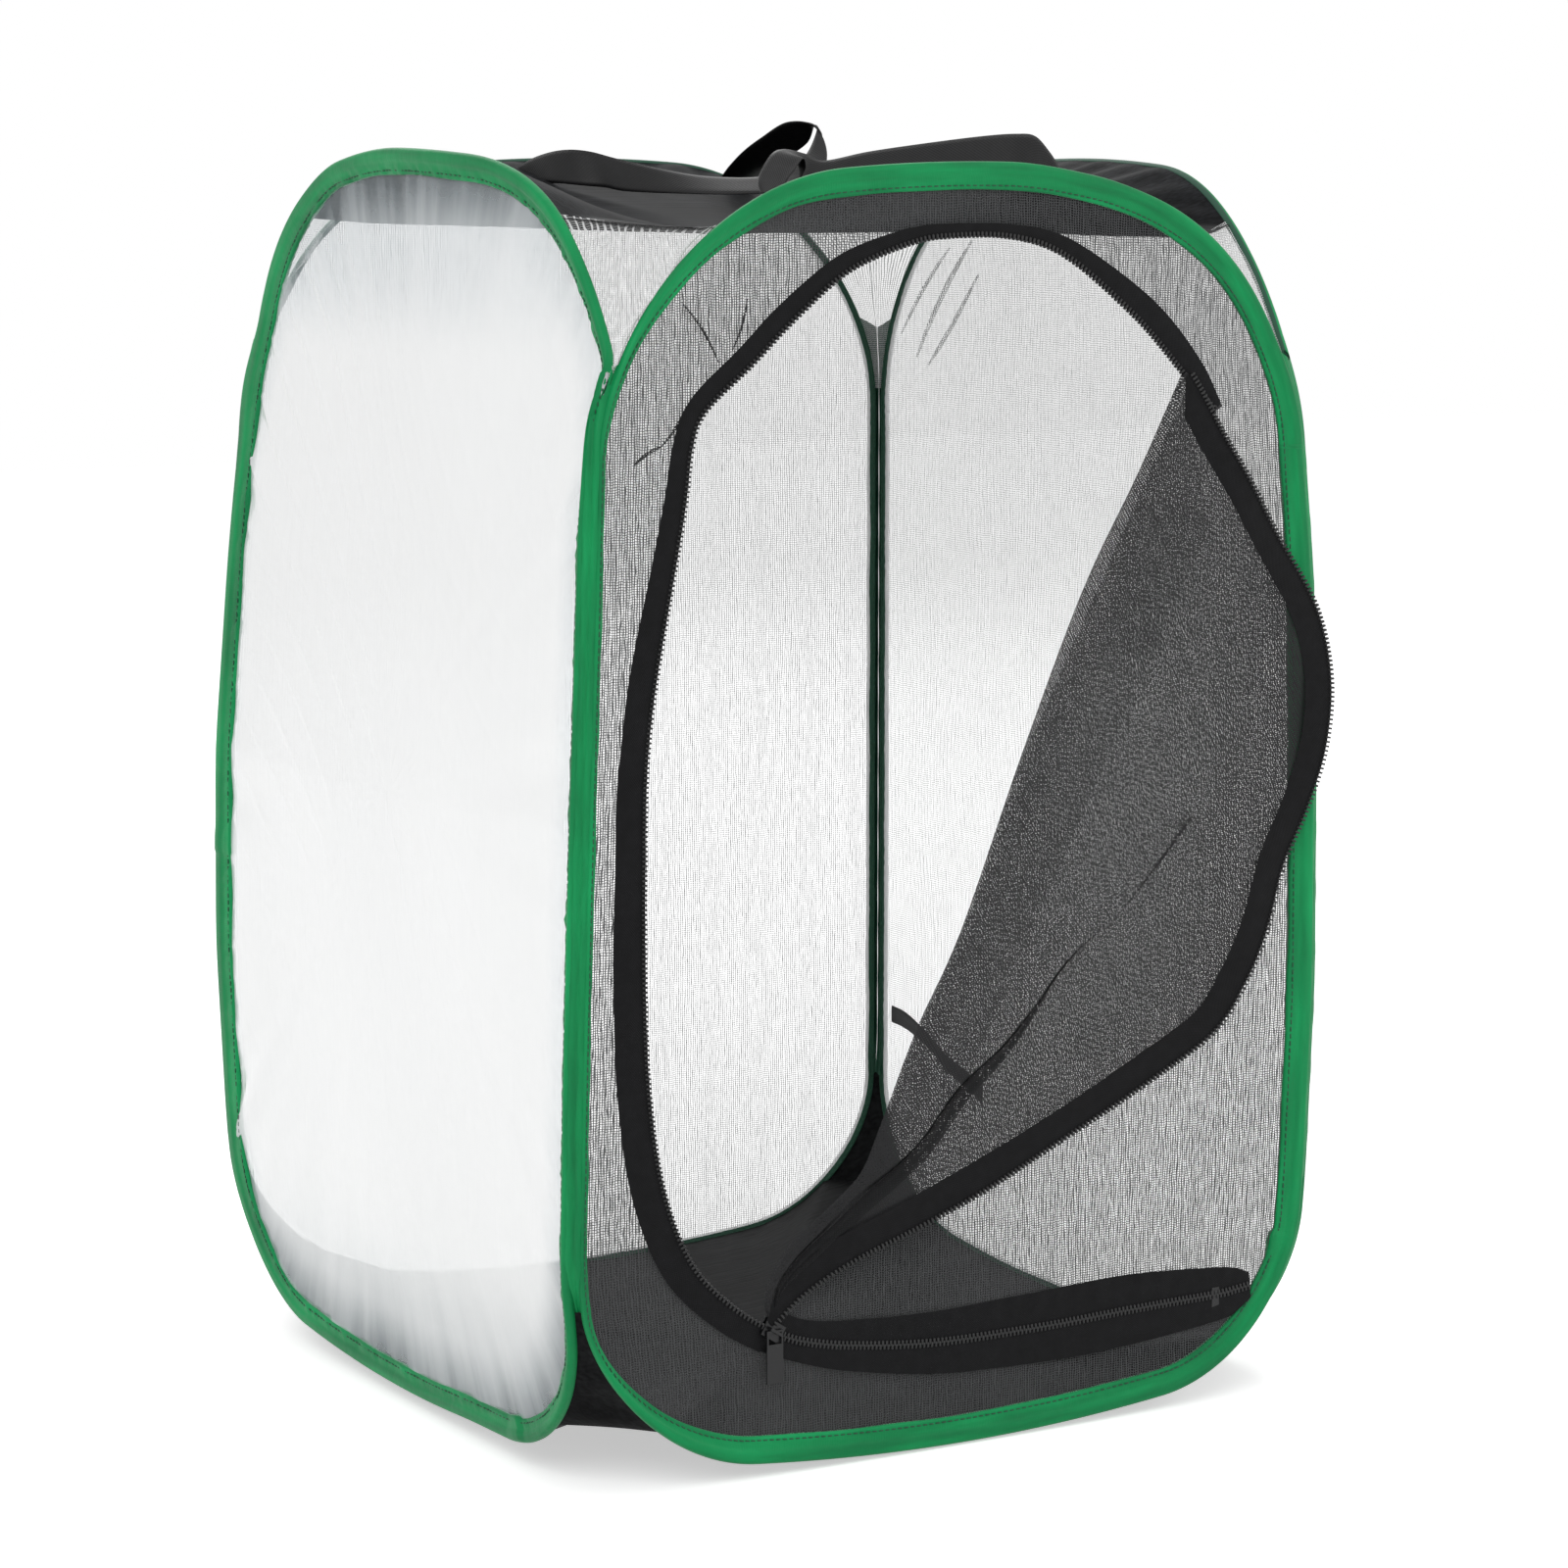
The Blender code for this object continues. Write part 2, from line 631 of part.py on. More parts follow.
def make_gusset(name, corner, top, last_angle, colour):
    """Corner cloth between two hoops, ruled from one bowed edge to the other."""
    turn = np.linspace(gusset_start, last_angle, 6)
    across, height = corner_point(turn, top, seam_room if top else 2 * seam_room)
    inner = middle - hoop_thickness / 2 - seam_room
    first = np.stack([across, np.full(len(across), -inner), height], axis=1)
    second = np.stack([np.full(len(across), inner), -across, height], axis=1)
    share = np.linspace(0, 1, 3)[None, :, None]
    grid = first[:, None] + (second - first)[:, None] * share
    for _ in range(corner):
        grid = np.stack([-grid[..., 1], grid[..., 0], grid[..., 2]], axis=-1)
    return cloth_solid(name, grid, cloth_thickness, colour, 0.8, (0.0, 0.0, 0.0))


def make_strap(name, side, left, right):
    """Carrying strap: a low arch of webbing, leaning in over the roof, swinging about the line through its feet."""
    face = webbing_width / 2
    start = np.array([left, strap_foot(left)])
    stop = np.array([right, strap_foot(right)])
    span = float(np.linalg.norm(stop - start))
    along = (stop - start) / span
    up = np.array([-along[1], along[0]])
    shoulder = strap_reach - webbing_width / 2
    outer = [(-face, 0.0), (-face, shoulder), (0.0, strap_reach), (span, strap_reach), (span + face, shoulder)]
    inner = [(span + face, 0.0), (span, 0.0), (span - face, foot_rise), (span - face, shoulder - foot_rise)]
    inner += [(span - webbing_width, strap_reach - webbing_width), (webbing_width, strap_reach - webbing_width)]
    inner += [(face, shoulder - foot_rise), (face, foot_rise), (0.0, 0.0)]
    outline = np.array(outer + inner)
    half = webbing_thickness / 2
    points = []
    for out in (-half, half):
        lean_out = out * math.cos(strap_lean) - outline[:, 1] * math.sin(strap_lean)
        lean_up = outline[:, 1] * math.cos(strap_lean) + out * math.sin(strap_lean)
        flat = start + np.outer(outline[:, 0], along) + np.outer(lean_up, up)
        points.append(on_side(side, flat[:, 0], lean_out, flat[:, 1]))
    count = len(outline)
    faces = [tuple(range(count)), tuple(range(count, 2 * count))]
    for i in range(count):
        k = (i + 1) % count
        faces.append((i, k, count + k, count + i))
    origin = tuple(float(v) for v in on_side(side, *[(start + stop)[0] / 2, 0.0, (start + stop)[1] / 2]))
    return build(name, np.concatenate(points), faces, "black", 0.65, origin)


def strap_foot(across):
    """Height of a strap's foot line, just above the hoop's bowed top."""
    line, _ = hoop_outline(0.0)
    top = line[line[:, 1] > cage_height / 2]
    order = np.argsort(top[:, 0])
    height = np.interp(across, top[order, 0], top[order, 1])
    return float(height) + clearance + webbing_thickness / 2


def make_tie():
    """Short tie strap sewn at the far corner, lying along the right wall's inside."""
    inner = -(mesh_thickness / 2 + clearance * 2)
    start = half_span - binding_width - tie_width / 3
    along = np.array([-math.cos(tie_slope), math.sin(tie_slope)])
    up = np.array([-along[1], along[0]])
    base = np.array([start, tie_height])
    corners = [base + up * tie_width / 2, base - up * tie_width / 2]
    tip = base + along * tie_length
    corners += [tip - up * tie_width / 3, tip + up * tie_width / 3]
    outline = np.array(corners)
    prism("tie_strap", "right", outline, inner - tie_thickness, inner, "black", 0.7, hoop_origin("right"))


def make_side(side):
    """One hoop with its wire, sleeve, binding and, but for the door wall, its flat panel."""
    make_wire(side)
    make_sleeve(side)
    make_binding(side)
    outline, _ = hoop_outline(panel_inset)
    half = mesh_thickness / 2
    if side == "left":
        prism("window_film", side, outline, -half, half, "film", 0.15, hoop_origin(side))
    elif side != "front":
        prism(side + "_mesh_panel", side, outline, -half, half, "pale", 0.8, hoop_origin(side))


def main():
    """Build the whole cage."""
    clear_scene()
    origin = (0.0, 0.0, 0.0)
    for side in SIDES:
        make_side(side)
    make_front_panel(origin)
    head, foot, _, _ = door_frame()
    hinge = (float((head[0] + foot[0]) / 2), fold_plane, float((head[1] + foot[1]) / 2))
    make_zip(origin, hinge)
    make_flap(hinge)
    make_slider()
    make_zip_ends(origin)
    make_sheet("roof_panel", True, gusset_end + math.radians(1.5), cage_height - roof_sag, "black")
    make_sheet("floor_panel", False, floor_gusset_end + math.radians(2.0), floor_rise, "black")
    names = ("front_right", "back_right", "back_left", "front_left")
    for number, name in enumerate(names):
        make_gusset("top_gusset_" + name, number, True, gusset_end, "pale")
        make_gusset("floor_gusset_" + name, number, False, floor_gusset_end, "black")
    make_strap("front_handle", "front", half_span * front_strap_left_share, half_span * front_strap_right_share)
    make_strap("back_handle", "back", -half_span * back_strap_share, half_span * back_strap_share)
    make_tie()
    centre_cage()


def centre_cage():
    """Move the whole cage so that the middle of its outer box stands over the origin and its foot is at zero."""
    bpy.context.view_layer.update()
    shown = [thing for thing in bpy.data.objects if not thing.hide_render]
    corners = np.array([thing.matrix_world @ vert.co for thing in shown for vert in thing.data.vertices])
    low = corners.min(axis=0)
    centre = (low + corners.max(axis=0)) / 2
    for thing in bpy.data.objects:
        thing.location -= Vector((float(centre[0]), float(centre[1]), float(low[2])))


if __name__ == "__main__":
    main()
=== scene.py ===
"""Looks of the pop-up insect cage: bindings, nets, film, zip, folded door, roof, floor and straps on its frame."""
from __future__ import annotations

import json
import logging
import math
from dataclasses import dataclass
from enum import Enum
from typing import Any, Optional, Sequence

import bmesh
import bpy
import numpy as np
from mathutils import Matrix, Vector

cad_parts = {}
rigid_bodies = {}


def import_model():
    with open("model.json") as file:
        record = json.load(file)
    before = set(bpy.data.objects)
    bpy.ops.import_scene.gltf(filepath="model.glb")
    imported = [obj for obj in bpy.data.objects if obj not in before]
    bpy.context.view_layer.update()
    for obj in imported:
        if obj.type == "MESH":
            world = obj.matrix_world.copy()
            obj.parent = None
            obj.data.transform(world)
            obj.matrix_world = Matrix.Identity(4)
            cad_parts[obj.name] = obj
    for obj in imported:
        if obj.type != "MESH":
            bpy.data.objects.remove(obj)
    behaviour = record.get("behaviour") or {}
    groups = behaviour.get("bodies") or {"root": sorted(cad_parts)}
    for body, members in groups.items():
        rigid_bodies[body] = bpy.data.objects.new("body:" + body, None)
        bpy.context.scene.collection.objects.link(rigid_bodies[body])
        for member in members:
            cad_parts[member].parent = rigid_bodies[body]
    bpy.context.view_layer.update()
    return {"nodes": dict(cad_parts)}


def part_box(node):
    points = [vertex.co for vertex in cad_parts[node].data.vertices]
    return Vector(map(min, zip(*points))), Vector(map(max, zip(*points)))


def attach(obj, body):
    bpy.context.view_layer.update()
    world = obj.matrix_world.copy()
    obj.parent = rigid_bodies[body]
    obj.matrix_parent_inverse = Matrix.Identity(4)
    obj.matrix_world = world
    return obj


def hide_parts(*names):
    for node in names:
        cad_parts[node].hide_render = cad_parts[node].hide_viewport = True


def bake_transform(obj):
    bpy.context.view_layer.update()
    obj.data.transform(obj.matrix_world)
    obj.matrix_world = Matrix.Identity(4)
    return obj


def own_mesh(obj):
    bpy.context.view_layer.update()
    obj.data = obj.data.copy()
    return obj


log = logging.getLogger("insect_cage")
Array = np.ndarray
Piece = bpy.types.Object
Material = bpy.types.Material
Socket = bpy.types.NodeSocket
Pair = tuple[float, float]
Triple = tuple[float, float, float]
MM = 0.001
CORNERS = (
    ("front_right", "front", "right_side"),
    ("back_right", "right_side", "back_side"),
    ("back_left", "back_side", "left_side"),
    ("front_left", "left_side", "front"),
)
OPEN_CORNER = "back_right"


class Side(Enum):
    """The four walls, as quarter turns from the front."""

    FRONT = 0
    RIGHT = 1
    BACK = 2
    LEFT = 3

    @property
    def label(self) -> str:
        """Name of the wall as the frame's nodes use it."""
        return self.name.lower()

    @property
    def body(self) -> str:
        """Name of the body that the wall rides on."""
        return "front" if self is Side.FRONT else self.label + "_side"


class Level(Enum):
    """Top or bottom end of the cage."""

    TOP = 1
    FLOOR = 0


def hex_colour(code: str) -> tuple[float, float, float, float]:
    """Turn an sRGB hex colour, #rrggbb, to the linear values that a shader takes, with an alpha of 1."""
    parts = [int(code[k : k + 2], 16) / 255 for k in (1, 3, 5)]
    linear = [c / 12.92 if c <= 0.04045 else ((c + 0.055) / 1.055) ** 2.4 for c in parts]
    return (linear[0], linear[1], linear[2], 1.0)


class ShaderGraph:
    """Node tree of one material or world, with a short call for each kind of node that the finishes share."""

    def __init__(self, tree: bpy.types.NodeTree) -> None:
        """Keep the tree."""
        self.tree = tree

    def fill(self, node: bpy.types.Node, inputs: dict[Any, Any]) -> None:
        """Fill a node's sockets.

        Args:
            node: the node.
            inputs: socket names or numbers, each with a value or the output socket that feeds it.
        """
        for key, value in inputs.items():
            if isinstance(value, bpy.types.NodeSocket):
                self.tree.links.new(value, node.inputs[key])
            else:
                node.inputs[key].default_value = value

    def node(self, kind: str, inputs: dict[Any, Any], **settings: Any) -> bpy.types.Node:
        """Add a node.

        Args:
            kind: Blender's node type after the word ShaderNode.
            inputs: what its sockets get, as in fill.
            settings: its properties and their values.

        Returns:
            The new node.
        """
        node = self.tree.nodes.new("ShaderNode" + kind)
        for key, value in settings.items():
            setattr(node, key, value)
        self.fill(node, inputs)
        return node

    def cloth(self) -> Socket:
        """Cloth coordinates in metres."""
        return self.node("UVMap", {}, uv_map="cloth").outputs[0]

    def object(self) -> Socket:
        """Object coordinates."""
        return self.node("TexCoord", {}).outputs["Object"]

    def split(self, vector: Socket) -> Sequence[Socket]:
        """The three parts of a vector."""
        return self.node("SeparateXYZ", {0: vector}).outputs

    def stretch(self, vector: Socket, scale: Triple, turn: Triple = (0.0, 0.0, 0.0)) -> Socket:
        """Coordinates turned and scaled."""
        return self.node("Mapping", {"Vector": vector, "Rotation": turn, "Scale": scale}).outputs[0]

    def noise(self, vector: Socket, scale: float, detail: float, output: str = "Fac") -> Socket:
        """Soft noise over coordinates."""
        return self.node("TexNoise", {"Vector": vector, "Scale": scale, "Detail": detail}).outputs[output]

    def math(self, operation: str, *values: Any, clamp: bool = False) -> Socket:
        """Arithmetic on one to three numbers."""
        return self.node("Math", dict(enumerate(values)), operation=operation, use_clamp=clamp).outputs[0]

    def vector_math(self, operation: str, *values: Any) -> Socket:
        """Arithmetic on two or three vectors."""
        return self.node("VectorMath", dict(enumerate(values)), operation=operation).outputs[0]

    def remap(
        self, value: Socket, source: Pair = (0.0, 1.0), target: Pair = (0.0, 1.0), smooth: bool = False
    ) -> Socket:
        """Carry a value from one range to another, in a straight line or along a smooth step."""
        ends = {"From Min": source[0], "From Max": source[1], "To Min": target[0], "To Max": target[1]}
        kind = "SMOOTHSTEP" if smooth else "LINEAR"
        return self.node("MapRange", {"Value": value, **ends}, interpolation_type=kind).outputs[0]

    def mix(self, factor: Any, first: Any, second: Any, kind: str = "RGBA") -> Socket:
        """Blend of two colours, or of two numbers with the kind FLOAT."""
        return self.node("Mix", {"Factor": factor, "A": first, "B": second}, data_type=kind).outputs["Result"]

    def ramp(self, value: Socket, *stops: tuple[float, str]) -> Socket:
        """Colours along a value, each stop being a position and a colour."""
        node = self.node("ValToRGB", {0: value})
        marks = node.color_ramp.elements
        for mark, (position, code) in zip(marks, (stops[0], stops[-1])):
            mark.position, mark.color = position, hex_colour(code)
        for position, code in stops[1:-1]:
            marks.new(position).color = hex_colour(code)
        return node.outputs[0]

    def bump(self, height: Socket, strength: float, distance: float) -> Socket:
        """Normal bent by a height."""
        return self.node("Bump", {"Strength": strength, "Distance": distance, "Height": height}).outputs[0]

    def seen(self) -> Socket:
        """1 for rays from the camera, reflections and see-through surfaces, 0 for the light that falls on things."""
        rays = self.node("LightPath", {}).outputs
        return self.math("MAXIMUM", self.math("MAXIMUM", rays[0], rays["Is Glossy Ray"]), rays["Is Transmission Ray"])


def smooth_step(low: float, high: float, value: Array) -> Array:
    """Rise from 0 at low to 1 at high along a cubic with flat ends."""
    t = np.clip((value - low) / (high - low), 0.0, 1.0)
    return t * t * (3.0 - 2.0 * t)


def waves(run: Array, period: float, counts: tuple[int, int], terms: int, seed: int) -> Array:
    """Sum of sine waves with whole counts round a closed run, at random phases.

    Args:
        run: distance along the closed line.
        period: whole length of the line.
        counts: lowest and highest number of waves round the line.
        terms: how many waves are added.
        seed: seed of the phases, so that each run gives the same shape.

    Returns:
        Values of about unit size, one for each run.
    """
    rng = np.random.default_rng(seed)
    number = rng.integers(counts[0], counts[1], terms)
    phase = rng.uniform(0, 2 * math.pi, terms)
    size = rng.uniform(0.4, 1.0, terms)
    angle = 2 * math.pi * np.asarray(run)[..., None] / period * number + phase
    return (np.sin(angle) * size).sum(axis=-1) / math.sqrt(terms)


def inside(points: Array, loop: Array) -> Array:
    """Which points lie inside a closed loop, by counting crossings of a level ray.

    Args:
        points: places, (n, 2).
        loop: corners of the loop, (m, 2).

    Returns:
        One truth value for each point.
    """
    a, b = loop[None, :, :], np.roll(loop, -1, axis=0)[None, :, :]
    x, y = points[:, None, 0], points[:, None, 1]
    spans = (a[..., 1] > y) != (b[..., 1] > y)
    rise = np.where(b[..., 1] == a[..., 1], 1e-12, b[..., 1] - a[..., 1])
    cross = a[..., 0] + (y - a[..., 1]) / rise * (b[..., 0] - a[..., 0])
    return (spans & (x < cross)).sum(axis=1) % 2 == 1


def run_along(line: Array) -> Array:
    """Distance run along a line at each of its points."""
    return np.concatenate([[0.0], np.cumsum(np.linalg.norm(np.diff(line, axis=0), axis=1))])


def quarter_turns(points: Array, turns: int) -> Array:
    """Points turned about the cage's axis by quarter turns."""
    for _ in range(turns):
        points = np.stack([-points[..., 1], points[..., 0], points[..., 2]], axis=-1)
    return points


def spread(*parts: Array) -> Array:
    """Parts of different shapes side by side in a last axis."""
    return np.stack(np.broadcast_arrays(*parts), axis=-1)


def resample(line: Array, count: int, closed: bool = False) -> Array:
    """Points spaced evenly by length along a line.

    Args:
        line: points, (n, k).
        count: how many points to return.
        closed: whether the last point joins the first.

    Returns:
        Evenly spaced points, (count, k).
    """
    full = np.concatenate([line, line[:1]]) if closed else line
    run = run_along(full)
    stops = np.linspace(0.0, run[-1], count + 1)[:-1] if closed else np.linspace(0.0, run[-1], count)
    return np.stack([np.interp(stops, run, full[:, k]) for k in range(full.shape[1])], axis=1)


def smooth_path(marks: Sequence[Sequence[float]], count: int) -> Array:
    """Even points on a Catmull-Rom curve through given marks, of any width.

    Args:
        marks: places that the curve passes through.
        count: how many points to return.

    Returns:
        Points, (count, k).
    """
    mark = np.asarray(marks, float)
    ends = np.concatenate([[2 * mark[0] - mark[1]], mark, [2 * mark[-1] - mark[-2]]])
    t = np.linspace(0, len(mark) - 1, count)
    i = np.minimum(t.astype(int), len(mark) - 2)
    f = (t - i)[:, None]
    p0, p1, p2, p3 = (ends[i + k] for k in range(4))
    return 0.5 * (2 * p1 + (p2 - p0) * f + (2 * p0 - 5 * p1 + 4 * p2 - p3) * f**2 + (3 * p1 - 3 * p2 + p3 - p0) * f**3)


def make_piece(
    name: str,
    points: Array,
    faces: Array,
    material: Material,
    uv: Optional[Array] = None,
    weld: bool = False,
    outward: bool = False,
) -> Piece:
    """Put points and faces into a new object at the origin.

    Args:
        name: object name.
        points: places in metres, (n, 3).
        faces: point numbers, (m, 3) or (m, 4).
        material: finish.
        uv: cloth coordinates in metres for each point, (n, 2).
        weld: merge points that coincide.
        outward: turn the faces to point outward, for a closed shape.

    Returns:
        The new object.
    """
    mesh = bpy.data.meshes.new(name)
    mesh.from_pydata(np.asarray(points, float).reshape(-1, 3).tolist(), [], np.asarray(faces, int).tolist())
    if uv is not None:
        layer = mesh.uv_layers.new(name="cloth")
        corners = np.empty(len(mesh.loops), np.int32)
        mesh.loops.foreach_get("vertex_index", corners)
        layer.data.foreach_set("uv", np.asarray(uv, np.float32).reshape(-1, 2)[corners].ravel())
    if weld or outward:
        work = bmesh.new()
        work.from_mesh(mesh)
        if weld:
            bmesh.ops.remove_doubles(work, verts=work.verts, dist=1e-6)
            bmesh.ops.dissolve_degenerate(work, edges=work.edges, dist=1e-7)
        if outward:
            bmesh.ops.recalc_face_normals(work, faces=work.faces)
        work.to_mesh(mesh)
        work.free()
    mesh.materials.append(material)
    mesh.polygons.foreach_set("use_smooth", np.full(len(mesh.polygons), True))
    thing = bpy.data.objects.new(name, mesh)
    bpy.context.scene.collection.objects.link(thing)
    return thing


def grid_faces(rows: int, columns: int, loop_rows: bool = False, loop_columns: bool = False) -> Array:
    """Four-sided faces of a grid of points numbered row by row.

    Args:
        rows: number of rows.
        columns: number of columns.
        loop_rows: the last row joins the first.
        loop_columns: the last column joins the first.

    Returns:
        Point numbers, (m, 4).
    """
    i = np.arange(rows if loop_rows else rows - 1)[:, None]
    j = np.arange(columns if loop_columns else columns - 1)[None, :]
    k, l = (i + 1) % rows, (j + 1) % columns
    faces = np.stack([i * columns + j, i * columns + l, k * columns + l, k * columns + j], axis=-1)
    return faces.reshape(-1, 4)


def grid_piece(
    name: str,
    grid: Array,
    material: Material,
    uv: Optional[Array] = None,
    loop_rows: bool = False,
    loop_columns: bool = False,
    weld: bool = False,
) -> Piece:
    """Object from a grid of points, (rows, columns, 3), with an optional (rows, columns, 2) of cloth coordinates."""
    faces = grid_faces(grid.shape[0], grid.shape[1], loop_rows, loop_columns)
    return make_piece(name, grid, faces, material, uv, weld=weld, outward=loop_rows and loop_columns)


def repeat_shape(name: str, unit: Array, faces: Array, places: Array, axes: Array, material: Material) -> Piece:
    """One object holding a small shape at many places.

    Args:
        name: object name.
        unit: the shape's points, (v, 3).
        faces: the shape's faces, (f, 4).
        places: centre of each copy, (n, 3).
        axes: three directions of each copy, (n, 3, 3), one row for each of the shape's axes.
        material: finish.

    Returns:
        The new object.
    """
    points = places[:, None, :] + np.einsum("vk,nkc->nvc", unit, axes)
    all_faces = faces[None] + (np.arange(len(places)) * len(unit))[:, None, None]
    return make_piece(name, points, all_faces.reshape(-1, faces.shape[1]), material, outward=True)


def spindle(length: float, width: float, height: float) -> tuple[Array, Array]:
    """Short thread or tooth: four-sided rings whose size swells from small ends to a full middle.

    Args:
        length: size along the first axis.
        width: size along the second axis.
        height: size along the third axis.

    Returns:
        Points and four-sided faces.
    """
    along = np.array([-0.5, -0.36, 0.36, 0.5]) * length
    swell = np.array([0.45, 1.0, 1.0, 0.45])
    turn = np.arange(4) * (math.pi / 2) + math.pi / 4
    y = np.cos(turn) * width / 2 * math.sqrt(2)
    z = np.sin(turn) * height / 2 * math.sqrt(2)
    points = spread(along[:, None], swell[:, None] * y, swell[:, None] * z)
    faces = grid_faces(4, 4, loop_columns=True)
    caps = np.array([[0, 1, 2, 3], [15, 14, 13, 12]])
    return points.reshape(-1, 3), np.concatenate([faces, caps])


@dataclass(frozen=True)
class Settle:
    """How the soft cage leans and bulges out of its true form.

    Each lean is a curve up the height, in millimetres towards +x, for one upright edge. It is whole on that edge and
    its side wall, and fades out over the nearest part of the front and back.
    """

    levels: tuple[float, ...] = (0.0, 0.045, 0.10, 0.20, 0.30, 0.40, 0.46, 0.52, 0.56, 0.60)
    front_right: tuple[float, ...] = (0.0, -2.5, 2.7, 7.0, 6.0, 2.5, -4.0, -9.0, -6.0, 0.0)
    front_left: tuple[float, ...] = (0.0, -3.5, -12.0, -9.5, -6.0, -2.0, 0.0, 1.0, 1.0, 1.0)
    back_left: tuple[float, ...] = (4.0, 2.0, -4.0, -8.5, -7.0, 2.0, 9.0, 12.0, 9.0, 7.0)
    half: float = 0.200
    push: float = 17.0 * MM
    dip: float = 6.0 * MM

    def lean(self, height: Array, edge: tuple[float, ...]) -> Array:
        """Shift of one edge at a height: straight pieces between the levels, rounded by averaging over 30 mm."""
        steps = (-0.015, 0.0, 0.0, 0.015)
        return sum(np.interp(height + step, self.levels, edge) for step in steps) / len(steps) * MM

    def move(self, points: Array) -> Array:
        """Lean the edges, push the window's upper near corner forward, and dip the front's right shoulder.

        Args:
            points: places from the cage's axis, (..., 3).

        Returns:
            Moved places.
        """
        x, y, z = points[..., 0], points[..., 1], points[..., 2]
        across, deep = x / self.half, y / self.half
        a, b = np.clip((across + 1) / 2, 0, 1), np.clip((deep + 1) / 2, 0, 1)
        window = smooth_step(0.2, 1.0, -across)
        high = smooth_step(0.45, 0.58, z)
        near = smooth_step(-0.985, -0.90, deep) * (1 - smooth_step(-0.70, -0.1, deep)) * smooth_step(0.43, 0.52, z)
        far = smooth_step(0.1, 0.6, deep) * (1 - smooth_step(0.90, 0.99, deep)) * smooth_step(0.42, 0.52, z)
        left = (1 - b) * self.lean(z, self.front_left) + b * self.lean(z, self.back_left)
        dx = (1 - smooth_step(0, 0.25, a)) * left + smooth_step(0.78, 1.0, a) * (1 - b) * self.lean(z, self.front_right)
        dx = dx + window * self.push / 2 * near
        dy = -window * self.push * (near + far / 2)
        dz = window * self.dip * high * smooth_step(-0.95, -0.5, deep) * (1 - smooth_step(0, 0.6, deep))
        dz = dz - self.dip * smooth_step(0.1, 0.5, across) * smooth_step(0.4, 0.95, -deep) * high
        dz = dz + window * self.dip * (1 - smooth_step(0, 0.1, z)) * smooth_step(-0.9, -0.3, deep)
        return points + np.stack([dx, dy, dz], axis=-1)


